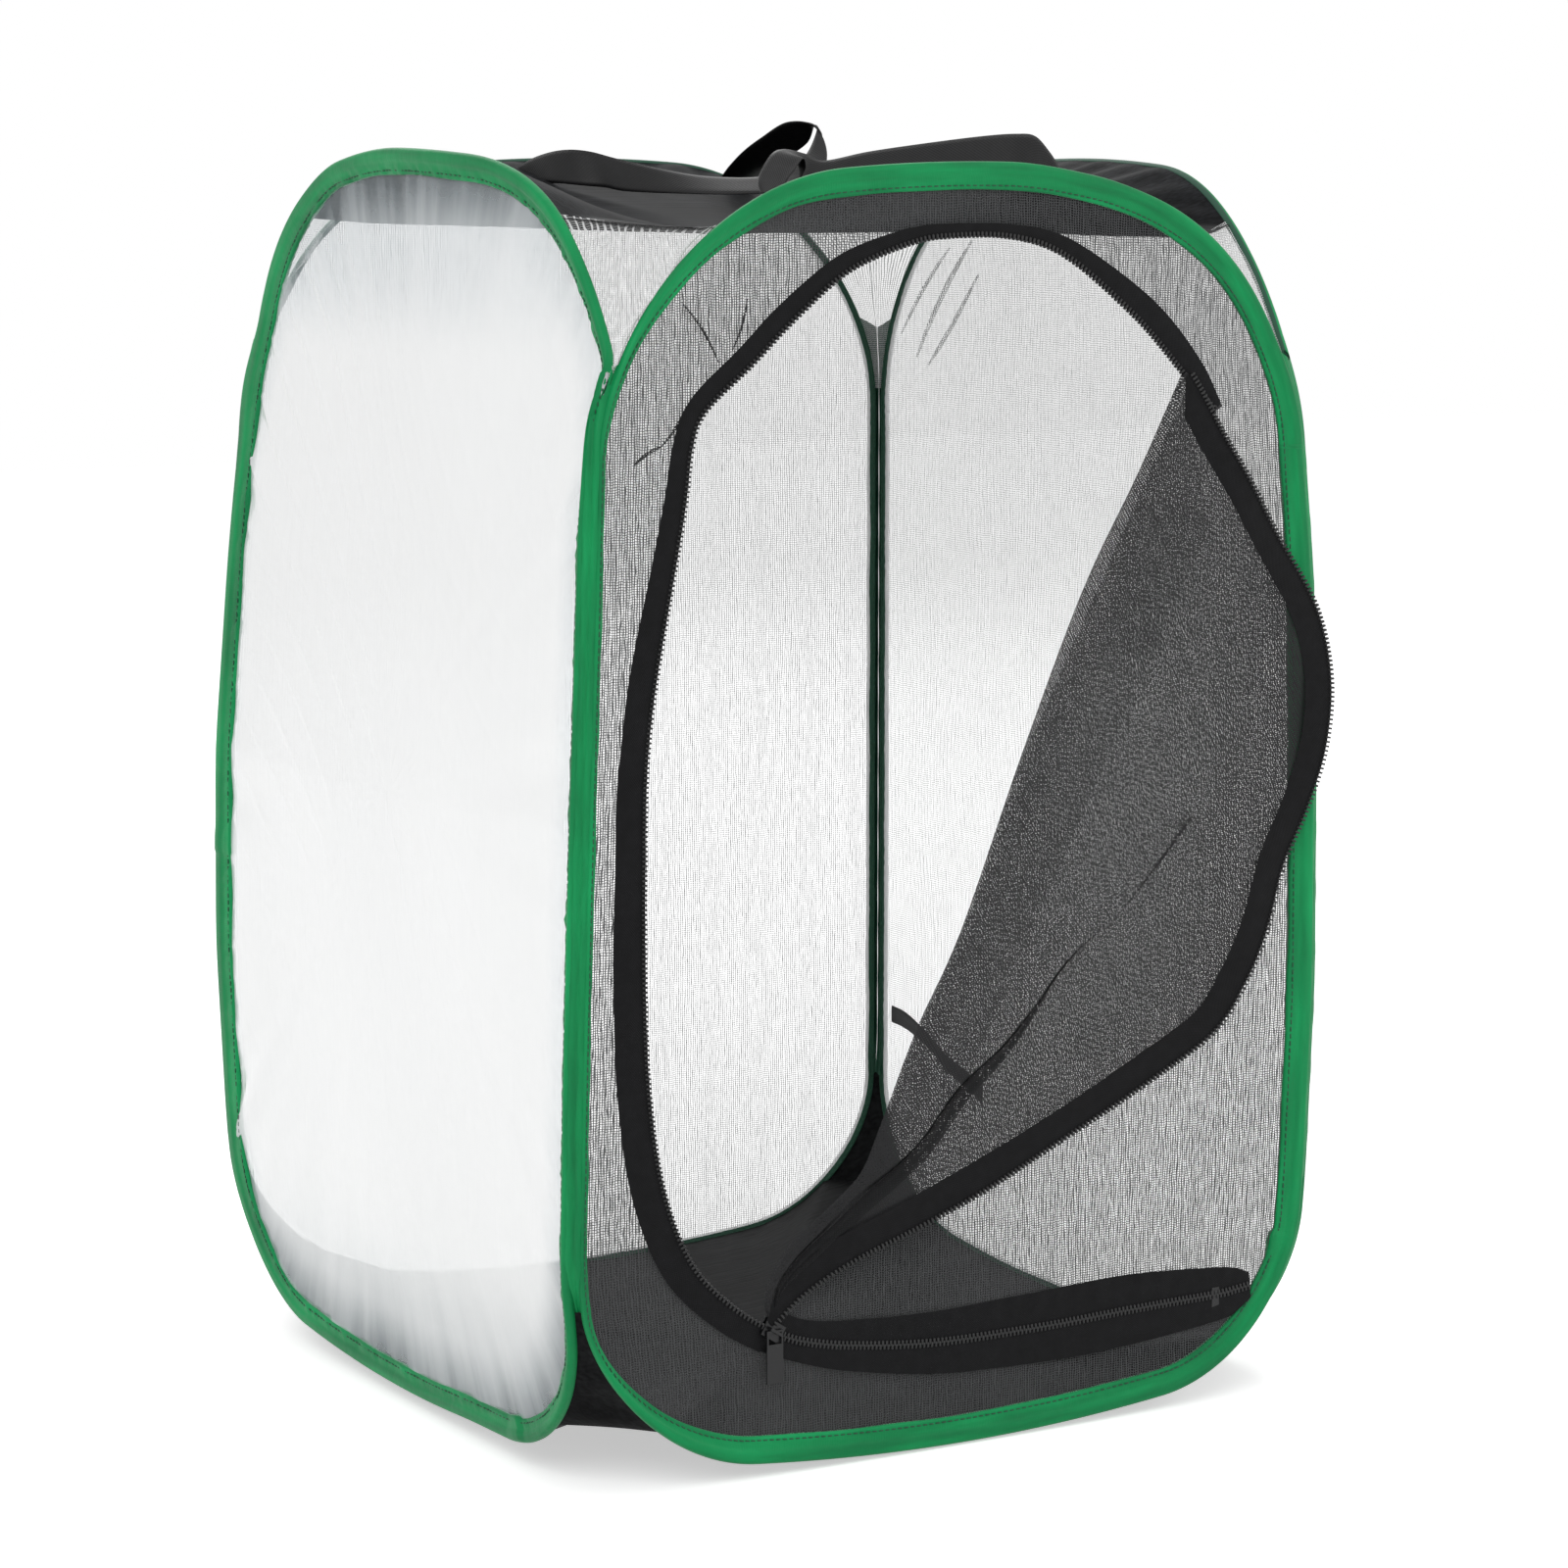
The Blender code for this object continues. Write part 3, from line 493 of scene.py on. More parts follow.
@dataclass(frozen=True)
class CageShape:
    """Sizes of the hoops and how a wall's flat coordinates lie in the world, as in the CAD model."""

    width: float = 0.400
    height: float = 0.600
    hoop_thickness: float = 0.0052
    edge_inset: float = 0.0034
    top_radius: float = 0.127
    bottom_radius: float = 0.080
    top_arch: float = 0.022
    bottom_arch: float = 0.018
    centre_x: float = 0.0
    centre_y: float = 0.0
    base: float = -0.00025
    settle: Settle = Settle()

    @property
    def middle(self) -> float:
        """Distance of each wall's middle plane from the cage's axis."""
        return self.width / 2 - self.hoop_thickness / 2

    @property
    def half_span(self) -> float:
        """Half the width of a hoop."""
        return self.middle - self.edge_inset

    @property
    def stand(self) -> Array:
        """Where the cage's axis meets the floor."""
        return np.array([self.centre_x, self.centre_y, self.base])

    def seat(self, points: Array) -> Array:
        """Settle points given from the cage's axis and set them where the frame stands."""
        return self.settle.move(points) + self.stand

    def place(self, side: Side, flat: Array, out: Any = 0.0, settled: bool = True) -> Array:
        """World points of a wall.

        Args:
            side: which wall.
            flat: places across the wall, seen from outside, and above the floor, (..., 2).
            out: distance outward from the wall's middle plane.
            settled: whether the cage's lean is added.

        Returns:
            Points, (..., 3).
        """
        points = self.heading(side, flat[..., 0], np.asarray(out) + self.middle, flat[..., 1])
        return (self.settle.move(points) if settled else points) + self.stand

    @staticmethod
    def heading(side: Side, across: Array, out: Array, up: Array) -> Array:
        """World direction of a wall's own direction: quarter turns from the front."""
        return quarter_turns(spread(across, -np.asarray(out, float), up), side.value)

    def bow(self, across: Array, height: Array) -> tuple[Array, Array]:
        """Bend the top down and the bottom up, by the square of the distance from the middle."""
        level = (height - self.height / 2) / (self.height / 2)
        share = (across / self.half_span) ** 2 * level**2
        return across, np.where(level > 0, height - self.top_arch * share, height + self.bottom_arch * share)

    def corner(self, angle: Array, level: Level) -> tuple[Array, Array]:
        """Right-hand corner of a hoop: a circle's quarter from the upright side (0) to the top or bottom run."""
        top = level is Level.TOP
        radius = self.top_radius if top else self.bottom_radius
        across = self.half_span - radius + radius * np.cos(angle)
        rise = radius * np.sin(angle)
        return self.bow(across, self.height - radius + rise if top else radius - rise)

    def hoop(self, count: int, inset: float = 0.0) -> tuple[Array, Array, Array]:
        """Smooth closed outline of a hoop, counter-clockwise seen from outside.

        Four circle quarters joined by the upright sides and the bowed runs, spaced evenly by length.

        Args:
            count: number of points.
            inset: distance inward along the outline's own normals.

        Returns:
            Points (n, 2), outward normals (n, 2) and the run along the outline (n,).
        """
        quarter = np.linspace(0, math.pi / 2, 48)
        ax, az = self.corner(quarter, Level.TOP)
        bx, bz = self.corner(quarter, Level.FLOOR)
        share = np.linspace(-1, 1, 60)[1:-1]
        tx, tz = self.bow(-share * ax[-1], np.full(58, self.height))
        fx, fz = self.bow(share * bx[-1], np.zeros(58))
        across = np.concatenate([ax, tx, -ax[::-1], -bx, fx, bx[::-1]])
        height = np.concatenate([az, tz, az[::-1], bz, fz, bz[::-1]])
        line = resample(np.stack([across, height], axis=1), count, closed=True)
        step = np.roll(line, -1, axis=0) - np.roll(line, 1, axis=0)
        step /= np.linalg.norm(step, axis=1)[:, None]
        outward = np.stack([step[:, 1], -step[:, 0]], axis=1)
        length = np.linalg.norm(np.roll(line, -1, axis=0) - line, axis=1).sum()
        return line - inset * outward, outward, np.arange(count) * length / count

    @staticmethod
    def from_frame() -> "CageShape":
        """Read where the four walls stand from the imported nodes."""
        low_f, high_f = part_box("front_mesh_panel")
        low_b, high_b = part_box("back_mesh_panel")
        low_l, high_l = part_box("window_film")
        low_r, high_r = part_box("right_mesh_panel")
        centre_x = (low_l[0] + high_l[0] + low_r[0] + high_r[0]) / 4
        centre_y = (low_f[1] + high_f[1] + low_b[1] + high_b[1]) / 4
        return CageShape(centre_x=float(centre_x), centre_y=float(centre_y))


@dataclass(frozen=True)
class DoorShape:
    """The zip's path with its tape width, the folded door's edges, and the true fold line that its joint turns on.

    Marks are given in millimetres across and up the front wall.
    """

    corner_radius: float = 0.115
    left: float = -0.158
    bottom: float = 0.050
    side_top: float = 0.400
    apex: float = 0.565
    arch_power: float = 2.05
    top_angle: float = math.radians(37.5)
    slider_angle: float = math.radians(236.7)
    pleat_reach: float = 0.085
    fold_forward: float = 0.0026
    closed_marks: tuple[tuple[float, float, float], ...] = (
        (166, 55, 6.5), (157, 54, 11), (145, 53, 13.5), (93, 52, 17.5), (44, 50.5, 17.5), (-17, 51, 15), (-64, 56, 12),
        (-90, 61.5, 10),
        (-106, 68, 10),
    )
    open_marks: tuple[tuple[float, float, float], ...] = (
        (-106, 68, 11), (-125, 82, 12), (-143, 104, 13), (-156, 140, 14), (-163, 185, 14.5), (-166, 238, 14.5),
        (-167, 290, 14), (-167, 334, 13.5), (-163, 375, 13), (-151, 445, 11), (-147, 475, 10), (-140, 491, 9.5),
        (-116, 511, 10), (-97, 528, 10), (-73, 547, 9), (-56, 556, 8), (-31, 564, 6.5), (-12, 566.5, 5.5),
        (20, 566, 5.5), (53, 558, 8.5), (90, 533, 12.5), (121, 501, 12), (139, 484, 5),
    )
    fold_marks: tuple[tuple[float, float], ...] = (
        (119, 503), (95, 456), (64, 402), (30, 326), (-3, 246), (-27, 202), (-46, 160), (-56, 139), (-66, 129),
        (-84, 116), (-98, 105), (-106, 93), (-109, 82), (-107, 73),
    )
    edge_marks: tuple[tuple[float, float], ...] = (
        (121, 503), (137, 479), (154, 454), (176, 416), (193, 382), (199.5, 353), (196, 320), (187, 291), (175, 264),
        (166, 235), (153, 208), (135, 184), (99, 164), (60, 145), (15, 125), (-26, 110), (-65, 97), (-90, 84),
        (-107, 71),
    )
    pleat_marks: tuple[tuple[float, float], ...] = (
        (-106, 80), (-104, 91), (-96, 103), (-83, 114), (-65, 127), (-44, 140), (-28, 152), (-9, 173), (15, 191),
        (32, 208), (45, 223), (59, 235), (76, 245), (92, 259), (109, 275), (123, 290),
    )

    def stretch(self, marks: Sequence[Sequence[float]], step: float = 1.0 * MM) -> Array:
        """Smooth line through marks, with a point at every step, in metres."""
        line = smooth_path(marks, 40 * len(marks)) * MM
        length = np.linalg.norm(np.diff(line[:, :2], axis=0), axis=1).sum()
        return resample(line, max(int(length / step), 8))

    @staticmethod
    def normals(line: Array) -> Array:
        """Unit directions to the right of a line's run, which is the inside of the door."""
        along = np.gradient(line[:, :2], axis=0)
        along = along / np.linalg.norm(along, axis=1)[:, None]
        return np.stack([along[:, 1], -along[:, 0]], axis=1)

    def offset(self, line: Array, distance: Any) -> Array:
        """Move a line sideways: positive is to the inside of the door."""
        return line[:, :2] + self.normals(line) * np.reshape(distance, (-1, 1))

    def fold(self) -> tuple[Array, Array, Array, Array]:
        """The true fold line's head and foot, the direction along it and the direction across it to the right.

        The head lies on a superellipse over the arch, the foot on a circle's quarter at the lower corner.
        """
        power = 2 / self.arch_power
        rise = self.apex - self.side_top
        across, up = math.cos(self.top_angle) ** power, math.sin(self.top_angle) ** power
        head = np.array([-self.left * across, self.side_top + rise * up])
        round_ = self.corner_radius * np.array([1 + math.cos(self.slider_angle), 1 + math.sin(self.slider_angle)])
        foot = np.array([self.left, self.bottom]) + round_
        along = (foot - head) / np.linalg.norm(foot - head)
        return head, foot, along, np.array([-along[1], along[0]])


@dataclass(frozen=True)
class Finish:
    """Recipe of a material with one Principled shader."""

    name: str

    def sockets(self, graph: ShaderGraph) -> dict[str, Any]:
        """What the shader's sockets get.

        Args:
            graph: the material's node tree.

        Returns:
            Socket names, each with a value or the output socket that feeds it.
        """
        raise NotImplementedError

    def build(self) -> Material:
        """Make the material."""
        material = bpy.data.materials.new(self.name)
        material.use_nodes = True
        graph = ShaderGraph(material.node_tree)
        graph.fill(material.node_tree.nodes["Principled BSDF"], self.sockets(graph))
        return material


@dataclass(frozen=True)
class SatinBindingTape(Finish):
    """Polyester satin tape, folded and sewn: a soft long highlight, fine cross ribs, puckers at the stitching."""

    name: str = "polyester_satin_binding"
    deep: str = "#066B3D"
    body: str = "#08874C"
    light: str = "#0FA05C"
    rib: float = 0.9 * MM
    pucker: float = 5.0 * MM

    def sockets(self, graph: ShaderGraph) -> dict[str, Any]:
        """The cloth map holds metres along the hoop and across the tape."""
        place = graph.cloth()
        drift = graph.noise(graph.stretch(place, (1.0, 9.0, 1.0)), 12.0, 4.0)
        ribs = graph.math("SINE", graph.math("MULTIPLY", graph.split(place)[0], 2 * math.pi / self.rib))
        pucker = graph.noise(graph.stretch(place, (1 / self.pucker, 90.0, 1.0)), 1.0, 3.0)
        relief = graph.math("MULTIPLY_ADD", ribs, 0.05, pucker)
        return {
            "Base Color": graph.ramp(drift, (0.28, self.deep), (0.5, self.body), (0.74, self.light)),
            "Normal": graph.bump(relief, 0.5, 0.5 * MM),
            "Roughness": graph.remap(pucker, target=(0.42, 0.58)),
            "Sheen Weight": 0.05,
            "Sheen Roughness": 0.4,
            "Specular IOR Level": 0.20,
        }


@dataclass(frozen=True)
class KnitNet(Finish):
    """Fine knitted polyester net: crossing threads with open holes, drawn coarser than real so that it shows."""

    thread: str
    cover: float = 0.36
    pitch: float = 1.35 * MM
    upright: float = 0.5
    wander: float = 0.5 * MM
    worn: str = "#6A6A6B"

    def sockets(self, graph: ShaderGraph) -> dict[str, Any]:
        """The cloth map holds metres across and up the cloth; noise along the wales breaks their even beat."""
        place = graph.cloth()
        noise = graph.noise(graph.stretch(place, (1.0, 0.2, 1.0)), 420.0, 2.0, "Color")
        shift = graph.vector_math("SUBTRACT", noise, (0.5, 0.5, 0.5))
        moved = graph.vector_math("MULTIPLY_ADD", shift, (self.wander * 4,) * 3, place)
        shares = (1 - (1 - self.cover) ** (2 * part) for part in (self.upright, 1 - self.upright))
        threads = []
        for socket, pitch, share in zip(graph.split(moved), (self.pitch, self.pitch * 0.86), shares):
            cell = graph.math("PINGPONG", graph.math("DIVIDE", socket, pitch), 0.5)
            threads.append(graph.math("LESS_THAN", cell, share / 2))
        patch = graph.noise(place, 11.0, 3.0)
        dense = graph.remap(patch, target=(0.90, 1.0))
        thread = hex_colour(self.thread)
        return {
            "Base Color": graph.mix(0.08, thread, graph.mix(patch, thread, hex_colour(self.worn))),
            "Alpha": graph.math("MULTIPLY", graph.math("MAXIMUM", *threads), dense),
            "Roughness": 0.7,
            "Specular IOR Level": 0.12,
        }


@dataclass(frozen=True)
class WindowVinyl(Finish):
    """Thin clear plastic film under a white veil of painted reflection: heaviest in the middle, thinner in streaks at
    the sewn edges, at the top (most towards the far end) and low down; sharp gloss.
    """

    name: str = "milky_vinyl_film"
    # White of the painted reflection on the film.
    veil: str = "#FDFEFE"
    cool: str = "#CFDDE4"

    def sockets(self, graph: ShaderGraph) -> dict[str, Any]:
        """The cloth map holds the distance round the edge and the share from middle to edge."""
        place, world = graph.cloth(), graph.object()
        _, deep, height = graph.split(world)
        rays = graph.stretch(place, (48.0, 1.6, 1.0))
        edge = graph.remap(graph.split(place)[1], (0.86, 1.0), smooth=True)
        top = graph.remap(height, (0.505, 0.56), smooth=True)
        low = graph.remap(height, (0.02, 0.10), (0.35, 0.0), smooth=True)
        far = graph.remap(deep, (-0.10, 0.12), (0.40, 0.85), smooth=True)
        thin = graph.remap(graph.noise(rays, 1.0, 5.0), (0.30, 0.76), smooth=True)
        ends = graph.math("MULTIPLY_ADD", top, far, low)
        bare = graph.math("MULTIPLY_ADD", edge, 0.65, ends)
        clear = graph.math("MULTIPLY", bare, graph.remap(thin, target=(0.6, 1.0)), clamp=True)
        tall = graph.stretch(world, (90.0, 90.0, 7.0), (math.radians(14), 0.0, 0.0))
        wrinkles = graph.mix(edge, graph.noise(tall, 1.0, 4.0), graph.noise(rays, 2.2, 4.0), "FLOAT")
        return {
            # Colour and alpha paint a white reflection over the clear film; where it thins the film shows a cool tint
            # and lets more through.
            "Base Color": graph.mix(clear, hex_colour(self.veil), hex_colour(self.cool)),
            "Alpha": graph.remap(clear, target=(0.90, 0.22)),
            "Normal": graph.bump(wrinkles, 0.35, 0.9 * MM),
            "Roughness": 0.16,
            "IOR": 1.5,
            "Coat Weight": 0.5,
            "Coat Roughness": 0.08,
        }


@dataclass(frozen=True)
class TaffetaCloth(Finish):
    """Black polyester taffeta: plain weave with long thicker threads that catch a dull shine."""

    dark: str = "#020203"
    bright: str = "#1C1D1E"
    slub: float = 2.2 * MM
    roughness: float = 0.6
    shine: float = 0.07

    def sockets(self, graph: ShaderGraph) -> dict[str, Any]:
        """Object coordinates, with the long threads running across the cage."""
        place = graph.object()
        slubs = graph.noise(graph.stretch(place, (14.0, 1 / self.slub, 1 / self.slub)), 1.0, 3.0)
        mixed = graph.math("MULTIPLY", slubs, graph.noise(place, 18.0, 3.0))
        return {
            "Base Color": graph.ramp(mixed, (0.18, self.dark), (0.44, self.bright)),
            "Normal": graph.bump(slubs, 0.5, 0.5 * MM),
            "Roughness": self.roughness,
            "Specular IOR Level": self.shine,
        }


@dataclass(frozen=True)
class WovenTape(Finish):
    """Black woven tape or webbing: ribs in two crossing directions at thread spacing, dull with a little lint."""

    dark: str = "#040405"
    bright: str = "#151517"
    rib_along: float = 1.3 * MM
    rib_across: float = 1.0 * MM
    roughness: float = 0.66
    shine: float = 0.14

    def sockets(self, graph: ShaderGraph) -> dict[str, Any]:
        """The cloth map holds metres along and across the tape."""
        place = graph.cloth()
        ribs = [
            graph.math("SINE", graph.math("MULTIPLY", socket, 2 * math.pi / pitch))
            for socket, pitch in zip(graph.split(place), (self.rib_along, self.rib_across))
        ]
        height = graph.math("MULTIPLY_ADD", graph.math("MULTIPLY", *ribs), 0.4, graph.noise(place, 160.0, 4.0))
        return {
            "Base Color": graph.ramp(height, (0.25, self.dark), (0.95, self.bright)),
            "Normal": graph.bump(height, 0.5, 0.25 * MM),
            "Roughness": self.roughness,
            "Specular IOR Level": self.shine,
        }


@dataclass(frozen=True)
class PlainFinish(Finish):
    """Moulded, drawn or painted small part: one base colour with faint mottling in tone and gloss."""

    low: str
    high: str
    roughness: float
    metallic: float = 0.0
    grain: float = 0.8 * MM

    def sockets(self, graph: ShaderGraph) -> dict[str, Any]:
        """Object coordinates."""
        noise = graph.noise(graph.object(), 1 / self.grain, 3.0)
        return {
            "Base Color": graph.mix(noise, hex_colour(self.low), hex_colour(self.high)),
            "Roughness": graph.remap(noise, target=(self.roughness - 0.06, self.roughness + 0.06)),
            "Normal": graph.bump(noise, 0.2, 0.05 * MM),
            "Metallic": self.metallic,
        }


@dataclass(frozen=True)
class WhiteFloor(Finish):
    """Matt white sheet that shows white to the camera and keeps the cage's shadow."""

    name: str = "white_floor"
    glow: float = 0.52

    def sockets(self, graph: ShaderGraph) -> dict[str, Any]:
        """Glow only where the floor is seen."""
        return {
            "Base Color": (0.92, 0.92, 0.92, 1.0),
            "Roughness": 0.9,
            "Specular IOR Level": 0.0,
            "Emission Color": (1.0, 1.0, 1.0, 1.0),
            "Emission Strength": graph.math("MULTIPLY", graph.seen(), self.glow),
        }


class Finishes:
    """Every finish of the cage, made once."""

    def __init__(self) -> None:
        """Build the finishes."""
        self.binding = SatinBindingTape().build()
        self.lining = PlainFinish("binding_lining", "#F2F3F3", "#FAFAFA", 0.7).build()
        # Dark green painted shade for the insides of the right and back bands and of the corner tapes.
        self.shade = PlainFinish("binding_inner_tape", "#0A3D2A", "#0F4F38", 0.6).build()
        self.dark_net = KnitNet("front_knit_net", "#4A4B4C", 0.34, upright=0.6).build()
        self.door_net = KnitNet("door_knit_net", "#2B2B2C", 0.62, 1.05 * MM).build()
        # Thread darker than the door's and front's nets: painted shade in folds and creases; its dense cover stands for
        # their gathered layers.
        self.fold_net = KnitNet("folded_knit_net", "#1A1A1B", 0.62, 1.2 * MM).build()
        self.hinge_net = KnitNet("hinge_knit_net", "#4A4B4C", 0.15, upright=0.6).build()
        self.pale_net = KnitNet("pale_knit_net", "#DCDDDD", 0.25, upright=0.62, wander=0.35 * MM).build()
        self.film = WindowVinyl().build()
        self.roof = TaffetaCloth("roof_taffeta", "#0A0B0C", "#26272A", 1.6 * MM, 0.65, 0.08).build()
        self.floor = TaffetaCloth("floor_taffeta").build()
        self.tape = WovenTape("zip_tape_weave").build()
        self.webbing = WovenTape("strap_webbing", "#030304", "#101012", 2.0 * MM, 1.6 * MM, 0.45, 0.28).build()
        self.coil = PlainFinish("nylon_zip_coil", "#030304", "#0B0B0C", 0.55).build()
        self.thread = PlainFinish("green_sewing_thread", "#083C25", "#0E5234", 0.6, grain=0.4 * MM).build()
        self.zinc = PlainFinish("black_painted_zinc", "#0C0C0D", "#19191B", 0.32, 0.2).build()
        self.steel = PlainFinish("drawn_spring_steel", "#8E9093", "#B4B6B8", 0.3, 1.0).build()


@dataclass(frozen=True)
class BandWidth:
    """Width of a binding on the four runs of its hoop, and of its inner face where that is narrower."""

    left: float = 12.5 * MM
    right: float = 12.5 * MM
    top: float = 12.5 * MM
    floor: float = 12.5 * MM
    # Setting it also colours the inner face dark green as painted shade.
    inner: Optional[float] = None
    pucker: float = 0.16 * MM

    def along(self, outward: Array) -> Array:
        """Width for each outward normal: the four widths weighted by the squares of its parts."""
        x, z = outward[:, 0], outward[:, 1]
        level = np.where(z > 0, self.top, self.floor)
        return np.where(x > 0, self.right, self.left) * x**2 + level * z**2


@dataclass
class Part:
    """A sub-assembly, with the cage's shape and the finishes that its pieces draw on."""

    shape: CageShape
    finishes: Finishes

    def build(self) -> list[Piece]:
        """Make the pieces and set them on their bodies."""
        raise NotImplementedError


@dataclass
class Hoop(Part):
    """One wall's sewn binding with its stitching, over its wire and the sleeve on the wire's ends."""

    side: Side
    width: BandWidth = BandWidth()
    joins: tuple[float, ...] = ()
    count: int = 720
    stitch_pitch: float = 3.4 * MM
    stitch_length: float = 2.5 * MM
    stitch_back: float = 1.9 * MM
    wire_inset: float = 2.2 * MM
    wire_radius: float = 0.9 * MM
    sleeve_radius: float = 1.3 * MM
    sleeve_length: float = 22.0 * MM
    lap_start: float = 9.0 * MM
    lap_end: float = 4.0 * MM
    lap_rise: float = 1.1 * MM
    lap_reach: float = 1.2 * MM
    slack: float = 0.3 * MM

    def half_depth(self, inward: Array, width: Array) -> Array:
        """Half the band's thickness: a round outer edge over the wire, a step down beside it, and thin lips."""
        edge = np.sqrt(np.clip(1 - (1 - np.clip(inward / (1.9 * MM), 0, 1)) ** 2, 0, 1))
        share = inward / width
        lip = 1.0 - 0.34 * smooth_step(0.42, 0.58, share) - 0.22 * smooth_step(0.6, 1.0, share)
        return self.shape.hoop_thickness / 2 * edge * lip

    def band(self) -> Piece:
        """Closed profile carried round the hoop, with puckers at the stitching and laps where the tape's ends meet.

        The profile runs down the outer face from lip to edge and back up the inner face; its thickness is a circle's
        arc at the edge and smooth steps down to the lip. A narrow inner face leaves the outer lip's lining bare and is
        coloured dark green as painted shade of the cage's inside.
        """
        line, outward, run = self.shape.hoop(self.count)
        total = run[-1] + run[1]
        wide = self.width.along(outward)[:, None]
        inner = np.minimum(wide, self.width.inner or 1.0)
        share = np.array([1.0, 0.92, 0.8, 0.68, 0.58, 0.5, 0.42, 0.3, 0.2, 0.13, 0.07, 0.025, 0.0])
        tail = inner + (0.4 * MM if self.width.inner else 0.05 * MM)
        loop = np.concatenate([share[None] * wide, share[None, -2::-1] * inner, tail], axis=1)
        span = np.repeat(np.concatenate([wide, inner], axis=1), len(share), axis=1)
        face = np.concatenate([np.ones(12), [0.0], -np.ones(12), [0.4 if self.width.inner else 0.0]])
        near = smooth_step(0.40, 0.9, loop / span)
        slanted = run[:, None] + 0.9 * loop
        pucker = waves(slanted, total, (150, 320), 9, 40 + self.side.value) + waves(slanted, total, (40, 90), 5, 44)
        slack = waves(run, total, (12, 40), 7, 50 + self.side.value)[:, None]
        lap = np.zeros_like(run)
        for spot in self.joins:
            gap = ((run / total - spot + 0.5) % 1.0 - 0.5) * total
            rise = smooth_step(-self.lap_start, self.lap_end, gap)
            lap = np.maximum(lap, np.where(np.abs(gap) < self.lap_start, rise, 0))
        deep = self.half_depth(loop, span) * face + self.width.pucker * pucker * near * face
        deep = deep + self.lap_rise * lap[:, None] * face * smooth_step(0, 0.2, loop / span)
        edge = (self.slack * slack + self.lap_reach * lap[:, None]) * loop / span
        flat = line[:, None, :] - (loop + edge)[..., None] * outward[:, None, :]
        grid = self.shape.place(self.side, flat, deep)
        uv = spread(run[:, None], loop * np.where(face < 0, -1, 1))
        piece = grid_piece(self.side.label + "_sewn_binding", grid, self.finishes.binding, uv, True, True)
        piece.data.materials.append(self.finishes.lining)
        piece.data.materials.append(self.finishes.shade)
        # With an inner width set (right and back), the inner face takes the dark green of painted shade, with a lining
        # strip at its edge.
        bands = np.array([0] * 12 + ([2] * 12 + [1] * 2 if self.width.inner else [0] * 14))
        piece.data.polygons.foreach_set("material_index", np.tile(bands, self.count).astype(np.int32))
        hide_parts(self.side.label + "_binding")
        return piece

    def stitching(self) -> Piece:
        """Two rows of short threads, one on each face, sunk into the band along its lip."""
        line, outward, _ = self.shape.hoop(int(1.7 / self.stitch_pitch))
        wide = self.width.along(outward)
        places, axes = [], []
        for face, width in ((1.0, wide), (-1.0, np.minimum(wide, self.width.inner or 1.0))):
            inset = width - self.stitch_back
            flat = line - inset[:, None] * outward
            depth = face * (self.half_depth(inset, width) + 0.05 * MM)
            to_out = self.shape.heading(self.side, outward[:, 0], 0.0, outward[:, 1])
            deep = self.shape.heading(self.side, 0.0, np.full(len(line), face), 0.0)
            places.append(self.shape.place(self.side, flat, depth))
            axes.append(np.stack([np.cross(to_out, deep), to_out, deep], axis=1))
        unit, faces = spindle(self.stitch_length, 0.55 * MM, 0.45 * MM)
        name = self.side.label + "_binding_stitches"
        piece = repeat_shape(name, unit, faces, np.concatenate(places), np.concatenate(axes), self.finishes.thread)
        return piece

    def wire(self) -> list[Piece]:
        """Round wire all the way round inside the band, and a crimped sleeve, thin at its ends, over its bottom."""
        made = []
        line, outward, _ = self.shape.hoop(360, self.wire_inset)
        half = self.sleeve_length / 2
        at = np.linspace(-half, half, 12)
        tube, level = self.shape.bow(at, np.zeros(12))
        sleeve = np.stack([tube, level + self.wire_inset], axis=1)
        taper = self.sleeve_radius - 0.8 * self.wire_radius
        swell = self.sleeve_radius - taper * smooth_step(0.93, 1.0, np.abs(at) / half)
        kinds = (
            ("spring_wire", "_hoop_wire", line, outward, np.full(360, self.wire_radius), True),
            ("crimped_sleeve", "_wire_sleeve", sleeve, np.tile([0.0, -1.0], (12, 1)), swell, False),
        )
        turn = np.arange(8) * math.pi / 4
        for name, node, path, normal, radius, closed in kinds:
            flat = path[:, None] + (radius[:, None] * np.cos(turn)[None])[..., None] * normal[:, None]
            grid = self.shape.place(self.side, flat, radius[:, None] * np.sin(turn)[None])
            piece = grid_piece(self.side.label + "_" + name, grid, self.finishes.steel, None, closed, True)
            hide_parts(self.side.label + node)
            made.append(piece)
        return made

    def build(self) -> list[Piece]:
        """Make the band, its stitches, the wire and the sleeve and set them on the wall's body."""
        pieces = [self.band(), self.stitching(), *self.wire()]
        for piece in pieces:
            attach(piece, self.side.body)
        return pieces


def corner_halves(corner: str, gap: float = 0.0, lap: float = 0.0) -> list[tuple[str, float, float]]:
    """Pieces of a cloth that spans a corner, as shares of the way across it.

    Args:
        corner: name of the corner; the one where the frame's loop is open has two pieces.
        gap: how far the two halves stay from the middle.
        lap: how far a whole piece reaches past its ends.

    Returns:
        For each piece the end of its name, its start and its end.
    """
    if corner == OPEN_CORNER:
        return [("_a", 0.0, 0.5 - gap), ("_b", 0.5 + gap, 1.0)]
    return [("", -lap, 1.0 + lap)]


